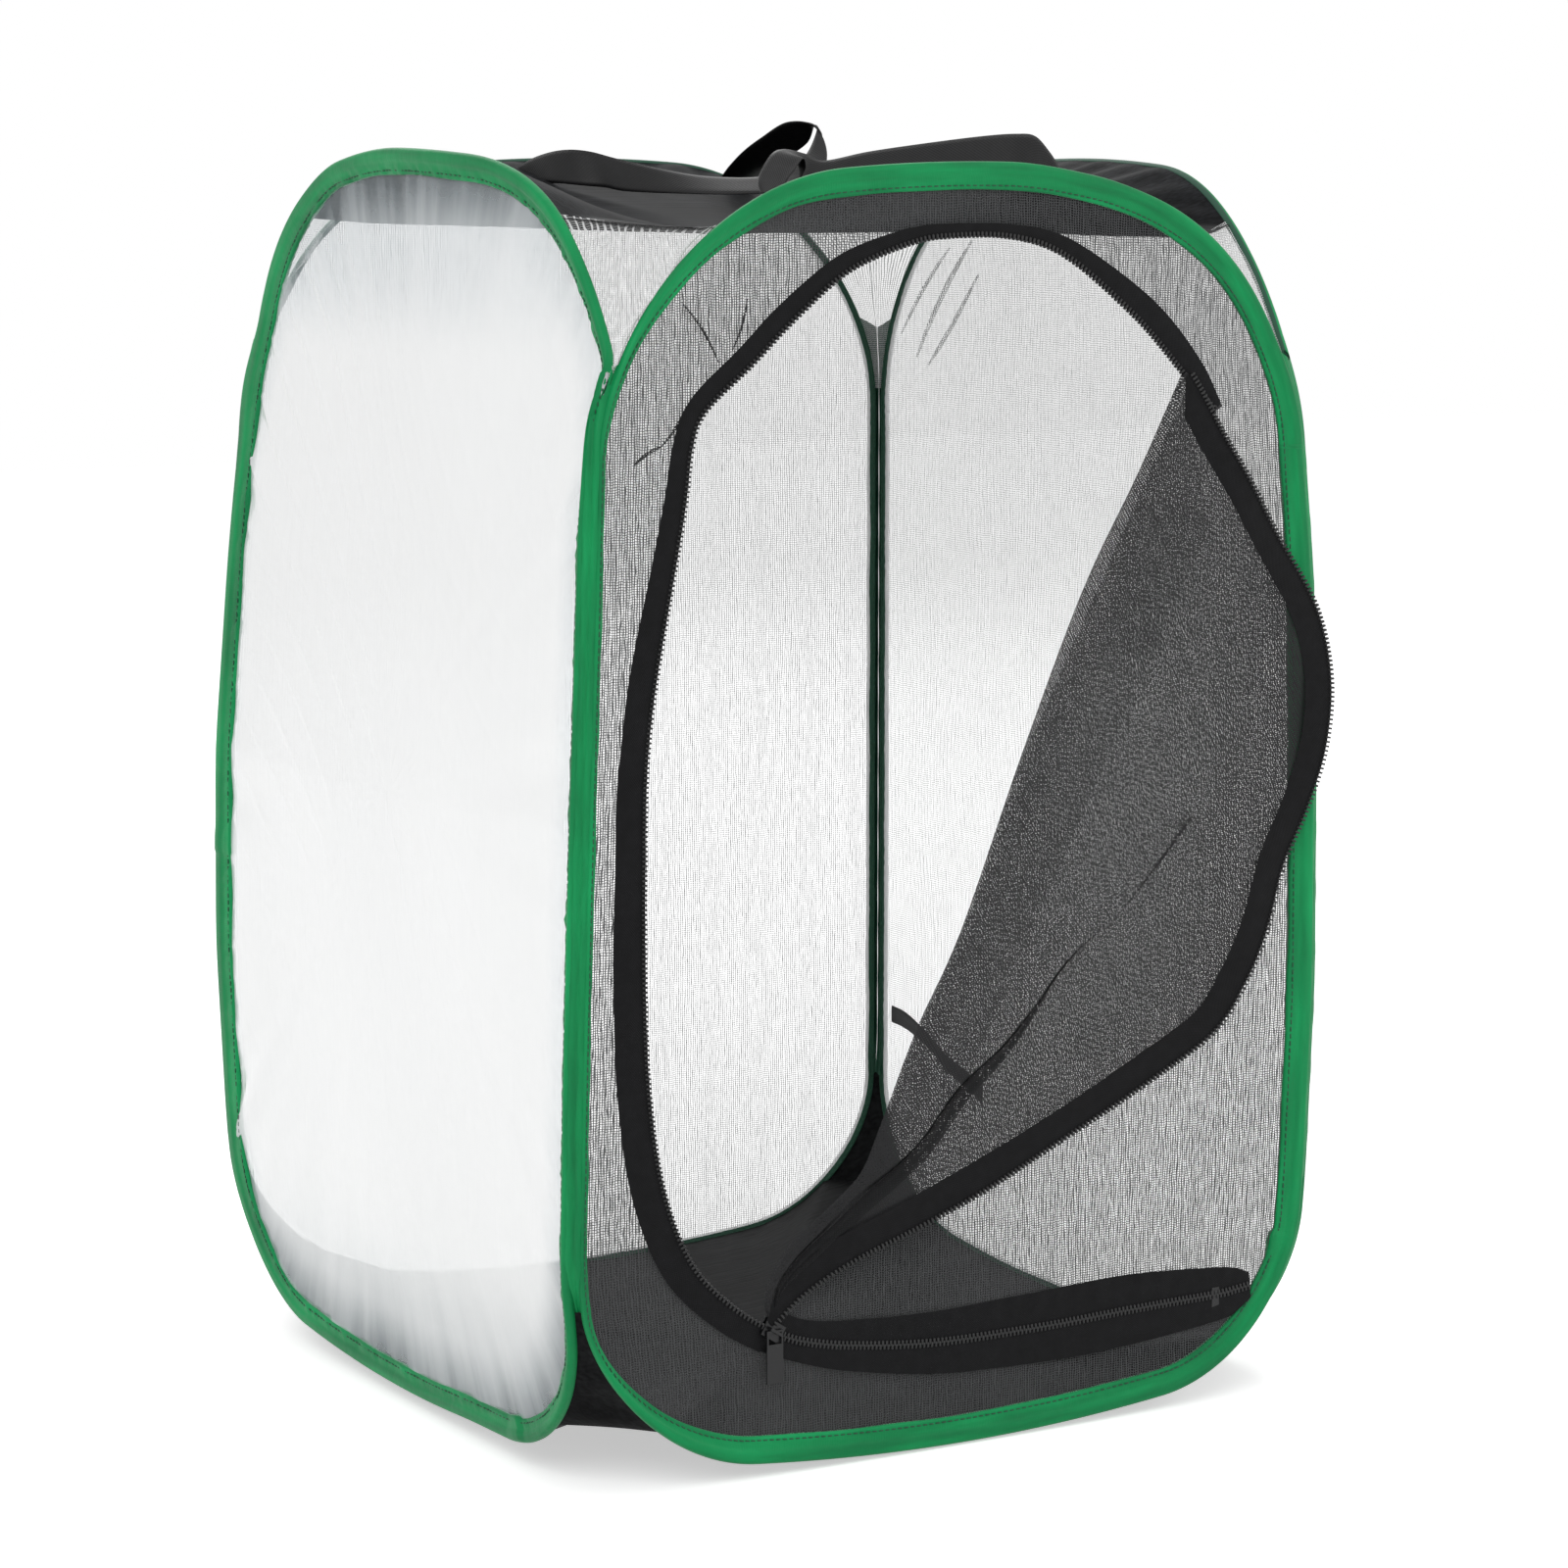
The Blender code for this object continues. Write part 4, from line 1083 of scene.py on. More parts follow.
@dataclass
class CornerSeam(Part):
    """Tape that joins two neighbouring bindings along their upright edges, with a groove where they meet; its inside is
    coloured dark green as painted shade.
    """

    turns: int
    corner: str
    bodies: tuple[str, str]
    tuck: float = 2.5 * MM
    proud: float = 1.6 * MM
    sunk: float = 2.6 * MM
    groove: float = 1.5 * MM
    cloth: float = 0.9 * MM
    top_reach: float = math.radians(24.0)
    floor_reach: float = math.radians(2.0)
    top_notch: float = 7.0 * MM
    floor_notch: float = 2.0 * MM
    width: float = 13.0 * MM
    gap: float = 0.02
    lap: float = 0.06

    def grid(self, low: float, high: float) -> Array:
        """Arc from one binding's outer face round the corner to the other's, dented in the middle, and its inside.

        Both ends of the tape are notched and sink between the bindings.

        Args:
            low: where the arc starts, as a share of the quarter turn.
            high: where it ends.

        Returns:
            Points, (rows, columns, 3).
        """
        fx, fz = self.shape.corner(np.array([self.floor_reach, 0]), Level.FLOOR)
        tx, tz = self.shape.corner(np.linspace(0, self.top_reach, 20), Level.TOP)
        share = np.linspace(low, high, 15)
        middle = np.clip(1 - np.abs(2 * share - 1), 0, 1)[None]
        first, last = fz[0] + self.floor_notch * middle, tz[-1] - self.top_notch * middle
        height = first + (last - first) * np.linspace(0, 1, 100)[:, None]
        across = np.interp(height, np.concatenate([fz, tz]), np.concatenate([fx, tx]))
        angle = (share - 1.0) * math.pi / 2
        centre = across - self.tuck
        wave = 0.25 * MM * np.sin(height * 210 + 40 * share[None] * self.turns)
        whole = smooth_step(fz[0], fz[0] + 0.024, height) * (1 - smooth_step(tz[-1] - 0.045, tz[-1], height))
        proud = self.proud * whole - self.sunk * (1 - whole) * (1 - smooth_step(0.1, 0.4, height))
        radius = self.shape.middle + proud - centre - self.groove * np.exp(-(((share - 0.5) / 0.10) ** 2)) + wave
        rings = []
        for inward in (0.0, self.cloth):
            x, y = centre + (radius - inward) * np.cos(angle), -centre + (radius - inward) * np.sin(angle)
            rings.append(np.stack([x, y, np.broadcast_to(height, x.shape)], axis=-1))
        grid = np.concatenate([rings[0], rings[1][:, ::-1]], axis=1)
        return self.shape.seat(quarter_turns(grid, self.turns))

    def build(self) -> list[Piece]:
        """Make the tape; at the open corner of the frame each hoop carries its own half."""
        made = []
        for number, (suffix, low, high) in enumerate(corner_halves(self.corner, self.gap, self.lap)):
            grid = self.grid(low, high)
            run = np.broadcast_to(grid[:, :1, 2], grid.shape[:2])
            wide = np.concatenate([np.linspace(0, self.width, 15), np.linspace(self.width, 0, 15)])
            uv = spread(run, wide[None])
            piece = grid_piece(self.corner + "_seam_tape" + suffix, grid, self.finishes.binding, uv, False, True)
            piece.data.materials.append(self.finishes.shade)
            # Inside ring in the dark green of painted shade.
            bands = np.array([0] * 14 + [1] * 16)
            piece.data.polygons.foreach_set("material_index", np.tile(bands, len(grid) - 1).astype(np.int32))
            if suffix:
                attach(piece, self.bodies[number])
                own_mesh(piece)
            else:
                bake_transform(piece)
            made.append(piece)
        return made


@dataclass(frozen=True)
class Pinch:
    """A narrow gathered crease in a net, from one place to another on a wall, in metres across and up."""

    start: tuple[float, float]
    end: tuple[float, float]
    width: float = 1.8 * MM
    bend: float = 0.0


def mesh_area(piece: Piece) -> float:
    """Area of a piece's surface in square metres."""
    areas = np.empty(len(piece.data.polygons), np.float32)
    piece.data.polygons.foreach_get("area", areas)
    return float(areas.sum())


@dataclass
class WallNet(Part):
    """Flat net of one wall, slack between its hoop, with pinched creases."""

    side: Side
    material: Material
    node: str
    pinches: tuple[Pinch, ...] = ()
    inset: float = 2.6 * MM
    around: int = 260
    rings: int = 44

    def slack(self, across: Array, height: Array) -> Array:
        """Soft billow of the net: two crossing slow sine waves."""
        ripple = np.sin(across * 41 + height * 17 + self.side.value) * np.sin(height * 23 - across * 9)
        return (0.6 if self.side is Side.FRONT else 1.6) * MM * ripple

    def cloth(self) -> Piece:
        """Rings drawn from the hoop's outline to its middle; the billow fades to nothing at the binding."""
        line, _, _ = self.shape.hoop(self.around, self.inset)
        centre = np.array([0.0, self.shape.height / 2])
        share = np.linspace(1.0, 0.0, self.rings) ** 0.9
        flat = centre + share[:, None, None] * (line - centre)[None]
        out = self.slack(flat[..., 0], flat[..., 1]) * smooth_step(0, 0.3, 1 - share)[:, None]
        grid = self.shape.place(self.side, flat, out)
        piece = grid_piece(self.side.label + "_wall_net", grid, self.material, flat, loop_columns=True, weld=True)
        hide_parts(self.node)
        mesh_area(piece)
        return piece

    def creases(self) -> list[Piece]:
        """A narrow tapering ribbon for each pinch, standing just outside the net, in a darker net than the wall's as
        painted shade of the crease.
        """
        made = []
        for number, pinch in enumerate(self.pinches):
            t = np.linspace(0, 1, 24)
            a, b = np.array(pinch.start), np.array(pinch.end)
            side_way = np.array([-(b - a)[1], (b - a)[0]])
            middle = a + np.outer(t, b - a) + np.outer(np.sin(math.pi * t) * pinch.bend, side_way)
            unit = side_way / np.linalg.norm(side_way)
            half = pinch.width / 2 * (0.25 + 0.75 * np.sin(math.pi * np.clip(t, 0.02, 0.98)) ** 0.6)
            share = np.array([-1.0, 0.0, 1.0])
            flat = middle[:, None] + (half[:, None] * share[None])[..., None] * unit
            lift = 0.7 * MM + 0.9 * MM * (1 - np.abs(share))[None] * np.sin(math.pi * t)[:, None]
            grid = self.shape.place(self.side, flat, lift)
            name = f"{self.side.label}_net_crease_{number + 1}"
            # Pale walls get dark grey creases and dark walls the darkest net: painted shade, with denser cover for the
            # fold's layers.
            pale = self.material == self.finishes.pale_net
            made.append(grid_piece(name, grid, self.finishes.dark_net if pale else self.finishes.fold_net, flat))
        return made

    def build(self) -> list[Piece]:
        """Make the net and its creases and set them on the wall's body."""
        pieces = [self.cloth(), *self.creases()]
        for piece in pieces:
            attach(piece, self.side.body)
        return pieces


@dataclass
class FrontWall(WallNet):
    """Front net with the doorway left open along the zip and the door's fold line."""

    door: DoorShape = DoorShape()
    cell: float = 2.0 * MM
    hidden: float = 2.6 * MM

    def cloth(self) -> Piece:
        """Square cells laid along the fold line, so that the doorway's straight edge is clean.

        A cell is kept where all its corners lie inside the hoop and outside the doorway; the cut edge at the
        zip lies under the tape.
        """
        outline, _, _ = self.shape.hoop(300, 1.4 * MM)
        head, foot, along, across = self.door.fold()
        rel = outline - head
        s, t = (
            np.arange(math.floor(v.min() / self.cell), math.ceil(v.max() / self.cell) + 1) * self.cell
            for v in (rel @ along, rel @ across)
        )
        places = (head + s[:, None, None] * along + t[None, :, None] * across).reshape(-1, 2)
        line = self.door.stretch(self.door.open_marks)
        gate = np.concatenate([self.door.offset(line, -self.hidden), [head - along * 0.02, foot + along * 0.02]])
        fold = self.door.stretch(self.door.fold_marks)
        bay = np.concatenate([fold, [foot - across * 0.02, head - across * 0.02]])
        left = np.broadcast_to(t[None] < -1e-6, (len(s), len(t))).ravel()
        good = inside(places, outline) & ~(inside(places, gate) & left) & ~(inside(places, bay) & ~left)
        faces = grid_faces(len(s), len(t))
        centre = places[faces].mean(axis=1)
        is_open = inside(centre, gate) & ((centre - head) @ across < 0)
        faces = faces[good[faces].all(axis=1) & ~is_open]
        used, index = np.unique(faces, return_inverse=True)
        flat = places[used]
        out = self.slack(flat[:, 0], flat[:, 1]) * smooth_step(0, 0.06, np.abs((flat - head) @ across))
        points = self.shape.place(self.side, flat, out)
        piece = make_piece("front_wall_net", points, index.reshape(-1, 4), self.material, flat)
        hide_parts(self.node)
        mesh_area(piece)
        return piece


@dataclass
class Window(Part):
    """Clear film of the left wall, creased all round where it is sewn in."""

    around: int = 640
    rings: int = 110
    inset: float = 2.6 * MM
    sharp: float = 0.35 * MM
    long: float = 1.1 * MM
    slow: float = 1.4 * MM
    slant: float = 1.5 * MM

    def build(self) -> list[Piece]:
        """Rings from the outline to the middle; short sharp creases run in from the edge, long soft ones further.

        Straight creases slant down from the upper far corner, as waves across a slanting direction that fade away
        from that corner.
        """
        line, _, run = self.shape.hoop(self.around, self.inset)
        total = run[-1] + run[1]
        centre = np.array([0.0, self.shape.height / 2])
        share = np.linspace(1.0, 0.0, self.rings) ** 0.8
        flat = centre + share[:, None, None] * (line - centre)[None]
        x, z = flat[..., 0], flat[..., 1]
        inward = (1 - share)[:, None]
        sharp = waves(run, total, (50, 130), 12, 7)[None] * np.exp(-inward / 0.06) * smooth_step(0, 0.015, inward)
        long = waves(run, total, (14, 44), 9, 8)[None] * np.exp(-inward / 0.18) * smooth_step(0, 0.05, inward)
        slow = np.sin(x * 29 + 1.2) * np.sin(z * 15 + x * 8) * smooth_step(0, 0.35, inward)
        away = np.hypot(x + 0.15, (z - 0.56) * 0.8)
        ridge = 1 - np.abs(np.sin((x * 0.80 + z * 0.60) * 150 + 2 * np.sin(x * 23) + 1.5 * np.sin(z * 17)))
        slant = ridge**5 * np.exp(-away / 0.11) * smooth_step(0.02, 0.08, inward)
        out = self.sharp * sharp + self.long * long + self.slow * slow + self.slant * slant
        grid = self.shape.place(Side.LEFT, flat, out)
        uv = spread(run[None], share[:, None])
        piece = grid_piece("left_window_film", grid, self.finishes.film, uv, loop_columns=True, weld=True)
        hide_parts("window_film")
        mesh_area(piece)
        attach(piece, "left_side")
        return [piece]


@dataclass
class Zip(Part):
    """Zip on the front wall: tapes, and coils with separate teeth, on the frame and on the closed lower run."""

    door: DoorShape
    coil_width: float = 3.0 * MM
    tooth_pitch: float = 2.2 * MM
    forward: float = 1.3 * MM

    def ribbon(self, name: str, line: Array, near: float, sign: float, seed: int) -> Piece:
        """Tape as a grid along the zip, from just under the teeth outward by the line's own width.

        A slow wave runs along it and it curls slightly across.
        """
        share = np.linspace(0, 1, 8)
        run = run_along(line[:, :2])
        sides = np.stack([self.door.offset(line, sign * (near + (line[:, 2] - near) * f)) for f in share], axis=1)
        wave = waves(run, run[-1], (4, 24), 8, seed)
        curl = 0.35 * MM * np.sin(math.pi * share)[None]
        out = self.forward + 0.5 * MM * np.clip(wave + 0.6, 0, 2)[:, None] * share[None] + curl
        grid = self.shape.place(Side.FRONT, sides, out)
        uv = spread(run[:, None], share[None] * line[:, 2:])
        piece = grid_piece(name, grid, self.finishes.tape, uv)
        return piece

    def teeth(self, name: str, line: Array, middle: float, lift: Array, phase: float = 0.0) -> Piece:
        """Coil as a row of small bars across the zip's path, drawn coarser than a real coil so that its teeth are seen.

        Args:
            name: object name.
            line: the zip's path.
            middle: how far inside the path the bars' middles lie.
            lift: distance outward from the wall, one value or one for each point of the line.
            phase: start of the row, as a share of the pitch.

        Returns:
            The coil.
        """
        run = run_along(line[:, :2])
        stops = np.arange((phase + 0.2) * self.tooth_pitch, run[-1], self.tooth_pitch)
        normal = self.door.normals(line)
        lift = np.broadcast_to(lift, (len(line),))
        fields = np.column_stack([self.door.offset(line, middle), normal, lift])
        spots = np.stack([np.interp(stops, run, fields[:, k]) for k in range(5)], axis=1)
        first = self.shape.heading(Side.FRONT, spots[:, 2], 0.0, spots[:, 3])
        second = self.shape.heading(Side.FRONT, -spots[:, 3], 0.0, spots[:, 2])
        places = self.shape.place(Side.FRONT, spots[:, :2], spots[:, 4])
        unit, faces = spindle(self.coil_width, 0.9 * MM, 1.9 * MM)
        axes = np.stack([first, second, np.cross(first, second)], axis=1)
        piece = repeat_shape(name, unit, faces, places, axes, self.finishes.coil)
        return piece

    def build(self) -> list[Piece]:
        """Make the fixed half of the zip and set it on the front."""
        closed, opened = self.door.stretch(self.door.closed_marks), self.door.stretch(self.door.open_marks)
        whole = np.concatenate([closed, opened[1:]])
        split = len(closed)
        part = self.coil_width * 0.27
        tape = self.ribbon("frame_tape", whole, -0.6 * MM, -1.0, 11)
        low_tape = self.ribbon("lower_tape", closed, -0.6 * MM, 1.0, 12)
        shift = np.where(np.arange(len(whole)) < split, -part, 0.0)
        coil = self.teeth("frame_teeth", whole, shift, self.forward)
        low_coil = self.teeth("lower_teeth", closed, part, self.forward, 0.5)
        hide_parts("frame_zip_tape")
        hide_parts("lower_door_zip_tape")
        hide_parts("frame_zip_coil")
        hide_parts("lower_door_zip_coil")
        pieces = [tape, low_tape, coil, low_coil]
        for piece in pieces:
            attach(piece, "front")
        return pieces


@dataclass
class DoorFlap(Part):
    """Door cloth folded back to the right, its tape and coil, and the dark band of its slanting pleat, darkened as
    painted shade over its gathered layers.
    """

    door: DoorShape
    zip: Zip
    tape_width: float = 15.0 * MM
    ridge: float = 4.5 * MM
    hinge_start: float = 8.0 * MM
    hinge_end: float = 42.0 * MM
    rows: int = 190
    columns: int = 90

    def lift(self, flat: Array, share: Array) -> Array:
        """How far the folded cloth stands out: a quick rise at the fold, slow ripples and the pleat's overlap.

        The overlap rises over 16 mm on the upper left of the pleat's line and drops within 2 mm on its lower right.
        The cloth stands further out where it passes over the front's binding, and lies low beside the slider.

        Args:
            flat: places on the front wall, (..., 2).
            share: share of the way from the fold to the free edge.

        Returns:
            Distance outward.
        """
        x, z = flat[..., 0], flat[..., 1]
        rise = 2 * self.door.fold_forward * smooth_step(-0.02, 0.16, share) + 1.3 * MM * smooth_step(0.165, 0.182, x)
        ripple = 1.1 * MM * np.sin(z * 31 + x * 15) + 0.7 * MM * np.sin(z * 83 - x * 64) * smooth_step(0.0, 0.10, x)
        line = self.door.stretch(self.door.pleat_marks, 4 * MM)
        gap = flat[..., None, :] - line
        near = np.abs(np.hypot(gap[..., 0], gap[..., 1])).argmin(axis=-1)
        nearest = np.take_along_axis(gap, near[..., None, None], axis=-2)[..., 0, :]
        side = -(nearest * self.door.normals(line)[near]).sum(-1)
        along = near / (len(line) - 1)
        hump = smooth_step(-20 * MM, -1 * MM, -np.abs(side - 0.5 * MM)) * np.where(side > 0.5 * MM, 1.0, 0.0)
        hump = np.maximum(hump, smooth_step(-2.2 * MM, 0.5 * MM, side) * (side <= 0.5 * MM))
        fade = smooth_step(0, 0.08, along) * (1 - smooth_step(0.72, 0.98, along))
        lift = rise + ripple * smooth_step(0, 0.3, share) + self.ridge * hump * fade * smooth_step(0.02, 0.2, share)
        _, foot, _, _ = self.door.fold()
        away = np.hypot(x - foot[0], z - foot[1])
        return lift * (0.45 + 0.55 * smooth_step(15 * MM, 60 * MM, away))

    def bend(self, piece: Piece) -> None:
        """Bake a piece's place into its points; the door's turning places for it are worked out but not used."""
        head, foot, _, across = self.door.fold()
        middle = (head + foot) / 2
        stop = middle + across * self.door.pleat_reach
        out = self.door.fold_forward
        start = self.shape.place(Side.FRONT, middle, out, settled=False)
        end = self.shape.place(Side.FRONT, stop, out, settled=False)
        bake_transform(piece)

    def sides(self) -> tuple[Array, Array]:
        """The fold edge and the free edge, each from head to foot, with points paired by length."""
        pair = (self.door.fold_marks, self.door.edge_marks)
        fold, edge = (resample(self.door.stretch(marks), self.rows) for marks in pair)
        return fold, edge

    def cloth(self) -> Piece:
        """Rows from the fold edge to the tape on the free edge."""
        fold, edge = self.sides()
        room = np.linalg.norm(edge - fold, axis=1)
        edge = self.door.offset(edge, np.minimum(7 * MM, 0.4 * room))
        share = np.broadcast_to(np.linspace(0, 1, self.columns)[None], (self.rows, self.columns))
        flat = fold[:, None] + (edge - fold)[:, None] * share[..., None]
        grid = self.shape.place(Side.FRONT, flat, self.lift(flat, share))
        turn = math.radians(24)
        weave = flat @ np.array([[math.cos(turn), -math.sin(turn)], [math.sin(turn), math.cos(turn)]])
        piece = grid_piece("folded_door_net", grid, self.finishes.door_net, weave)
        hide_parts("door_flap")
        mesh_area(piece)
        return piece

    def hinge(self) -> Piece:
        """Strip of net under the fold edge.

        It covers the bay between the curved fold edge and the door's straight turning line while the door is shut.
        """
        head, foot, _, across = self.door.fold()
        fold, edge = self.sides()
        room = np.maximum((edge - fold) @ across, 1 * MM)
        reach = np.minimum(0.7 * room, np.maximum(self.hinge_end - (fold - head) @ across, 2 * MM))
        share = np.linspace(0, 1, 24)[None] * (reach / room)[:, None]
        flat = fold[:, None] + (room[:, None] * share)[..., None] * across
        grid = self.shape.place(Side.FRONT, flat, 0.45 * self.lift(flat, share))
        piece = grid_piece("door_hinge_net", grid, self.finishes.hinge_net, flat)
        mesh_area(piece)
        middle = (head + foot) / 2
        spots = (middle + across * self.hinge_start, middle + across * self.hinge_end)
        ends = [self.shape.place(Side.FRONT, spot, self.door.fold_forward, settled=False) for spot in spots]
        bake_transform(piece)
        return piece

    def pleat(self) -> Piece:
        """Ribbed band of gathered cloth below the pleat's line, wide at the slider and narrow at the upper end, in a
        darker net as painted shade of the fold.
        """
        line = self.door.stretch(self.door.pleat_marks, 2 * MM)
        t = np.linspace(0, 1, len(line))
        wide = (2.0 * MM + 8.5 * MM * (1 - smooth_step(0.40, 0.74, t))) * smooth_step(-0.03, 0.10, t)
        share = np.linspace(0, 1, 17)
        flat = line[:, None] + (wide[:, None] * share[None])[..., None] * self.door.normals(line)[:, None]
        ribs = 0.35 * MM * np.cos(share * math.pi * 5)[None] * (1 - 0.7 * t)[:, None]
        out = self.lift(flat, np.full(flat.shape[:-1], 0.5)) + 0.9 * MM + ribs
        grid = self.shape.place(Side.FRONT, flat, out)
        piece = grid_piece("door_pleat_band", grid, self.finishes.fold_net, flat)
        return piece

    def edging(self) -> list[Piece]:
        """Tape and teeth on the door's free edge, waving out of its plane as the soft cloth lets them."""
        fold, edge = self.sides()
        run = run_along(edge)
        room = np.linalg.norm(edge - fold, axis=1)
        wide = np.minimum(self.tape_width, 3 * MM + 0.7 * room)
        share = np.linspace(0, 1, 9)
        wave = waves(run, run[-1], (2, 9), 6, 21)[:, None]
        flat = np.stack([self.door.offset(edge, wide * f) for f in share], axis=1)
        base = self.lift(edge, np.ones(self.rows))[:, None] + 0.9 * MM
        out = base + 1.4 * MM * wave * (0.5 - share)[None] + 0.3 * MM * np.sin(math.pi * share)[None]
        grid = self.shape.place(Side.FRONT, flat, out)
        uv = spread(run[:, None], share[None] * self.tape_width)
        tape = grid_piece("door_tape", grid, self.finishes.tape, uv)
        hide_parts("flap_zip_tape")
        coil = self.zip.teeth("door_teeth", edge, 0.0, out[:, 0])
        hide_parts("flap_zip_coil")
        return [tape, coil]

    def build(self) -> list[Piece]:
        """Make the folded door and its hinge strip, with their places baked into their points."""
        pieces = [self.cloth(), self.pleat(), *self.edging()]
        for piece in pieces:
            self.bend(piece)
        return [*pieces, self.hinge()]


@dataclass
class EndCloth(Part):
    """Roof or floor: one slack sheet sewn to the four hoops, with its corners closed by gussets."""

    level: Level
    last_angle: float
    centre: float
    inset: float
    power: float
    gather: float
    fold: float
    around: int = 360
    rings: int = 48

    @property
    def top(self) -> bool:
        """Whether this is the roof."""
        return self.level is Level.TOP

    def rim(self) -> Array:
        """Closed edge of the sheet: half hoops joined by straight cuts across the corners, (n, 3) before placing."""
        inner = self.shape.middle - 1.0 * MM
        turn = np.linspace(math.pi / 2, self.last_angle, 30)
        ax, az = self.shape.corner(turn, self.level)
        radius = self.shape.top_radius if self.top else self.shape.bottom_radius
        level = self.shape.height if self.top else 0.0
        mx, mz = self.shape.bow(np.linspace(0, 1, 20)[:-1] * (self.shape.half_span - radius), np.full(19, level))
        across, height = np.concatenate([mx, ax]), np.concatenate([mz, az])
        height = self.shape.height / 2 + (height - self.shape.height / 2) * (1 - 2 * self.inset / self.shape.height)
        across = across * (1 - self.inset / self.shape.half_span)
        first = np.stack([across, np.full(len(across), -inner), height], axis=1)
        second = np.stack([np.full(len(across), inner), -across, height], axis=1)[::-1]
        quarter = np.concatenate([first, second[:-1]])
        loop = np.concatenate([quarter_turns(quarter, turns) for turns in range(4)])
        return resample(loop, self.around, closed=True)

    def build(self) -> list[Piece]:
        """Rings from rim to middle: the height falls off as a power of the distance, with gathers near the seam."""
        rim = self.rim()
        run = run_along(rim)
        total = run[-1] + run[1]
        share = np.linspace(1, 0, self.rings)[:, None]
        grid = rim[None] * np.stack([share, share, 0 * share], axis=-1)
        grid[..., 2] = self.centre + (rim[None, :, 2] - self.centre) * share**self.power
        gather = waves(run, total, (24, 70), 10, 31)[None] * share**5 * smooth_step(0, 0.04, 1 - share)
        fold = waves(run, total, (5, 15), 6, 32)[None] * share**2 * smooth_step(0, 0.2, 1 - share)
        lift = self.gather * gather + self.fold * fold
        grid[..., 2] += lift if self.top else np.abs(lift)
        grid = self.shape.seat(grid)
        name = "roof_cloth" if self.top else "floor_cloth"
        finish = self.finishes.roof if self.top else self.finishes.floor
        piece = grid_piece(name, grid, finish, loop_columns=True, weld=True)
        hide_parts("roof_panel" if self.top else "floor_panel")
        mesh_area(piece)
        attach(piece, "front")
        front = self.shape.place(Side.FRONT, np.array([0.0, self.centre]), settled=False)
        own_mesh(piece)
        return [piece]


@dataclass
class Gussets(Part):
    """Corner cloths between neighbouring hoops, light net above and dark cloth below."""

    level: Level
    last_angle: float
    first_angle: float = math.radians(4.0)
    tuck: float = 1.6 * MM
    least_share: float = 0.3
    rows: int = 30
    columns: int = 25

    def grid(self, turns: int, low: float = 0.0, high: float = 1.0) -> Array:
        """Straight lines from one hoop's corner to the next hoop's, sagging inward in the middle."""
        top = self.level is Level.TOP
        angle = np.linspace(self.first_angle, self.last_angle, self.rows)
        across, height = self.shape.corner(angle, self.level)
        across = across - self.tuck * np.cos(angle)
        height = height - (self.tuck if top else -self.tuck) * np.sin(angle)
        inner = self.shape.middle - 1.0 * MM
        first = np.stack([across, np.full(self.rows, -inner), height], axis=1)
        second = np.stack([np.full(self.rows, inner), -across, height], axis=1)
        share = np.linspace(low, high, self.columns)[None, :, None]
        grid = first[:, None] + (second - first)[:, None] * share
        bulge = np.sin(math.pi * share) * (0.5 + 0.5 * np.sin(np.arange(self.rows) * 0.55 + turns))[:, None, None]
        width = np.linalg.norm(second - first, axis=1)[:, None, None]
        grid = grid - np.array([0.7, -0.7, 0.0]) * bulge * width * 0.05
        grid[..., 2] -= (1.0 if top else -0.4) * (bulge * width * 0.04)[..., 0]
        return self.shape.seat(quarter_turns(grid, turns))

    def build(self) -> list[Piece]:
        """Make four gussets; the one at the open corner of the frame is two halves, each riding on its own hoop's body.
        """
        top = self.level is Level.TOP
        finish = self.finishes.pale_net if top else self.finishes.floor
        kind = "top_gusset_" if top else "floor_gusset_"
        made = []
        for turns, (corner, body_a, body_b) in enumerate(CORNERS):
            for number, (suffix, low, high) in enumerate(corner_halves(corner)):
                grid = self.grid(turns, low, high)
                step = np.linalg.norm(np.diff(grid, axis=1), axis=2).mean(axis=0)
                rise = np.linalg.norm(np.diff(grid, axis=0), axis=2).mean(axis=1)
                u, v = (np.concatenate([[0.0], np.cumsum(part)]) for part in (step, rise))
                uv = spread(u[None] - u[-1] / 2, v[:, None])
                piece = grid_piece(kind + corner + "_cloth" + suffix, grid, finish, uv)
                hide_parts(kind + corner)
                flat = (float(np.linalg.norm(np.diff(grid[-1], axis=0), axis=1).sum()) + 2 * MM, float(v[-1]) + 4 * MM)
                area = mesh_area(piece)
                whole = flat[0] * flat[1]
                area = area if self.least_share * whole <= area <= whole else None
                if suffix:
                    body = (body_a, body_b)[number]
                    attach(piece, body)
                    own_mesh(piece)
                else:
                    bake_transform(piece)
                made.append(piece)
        return made


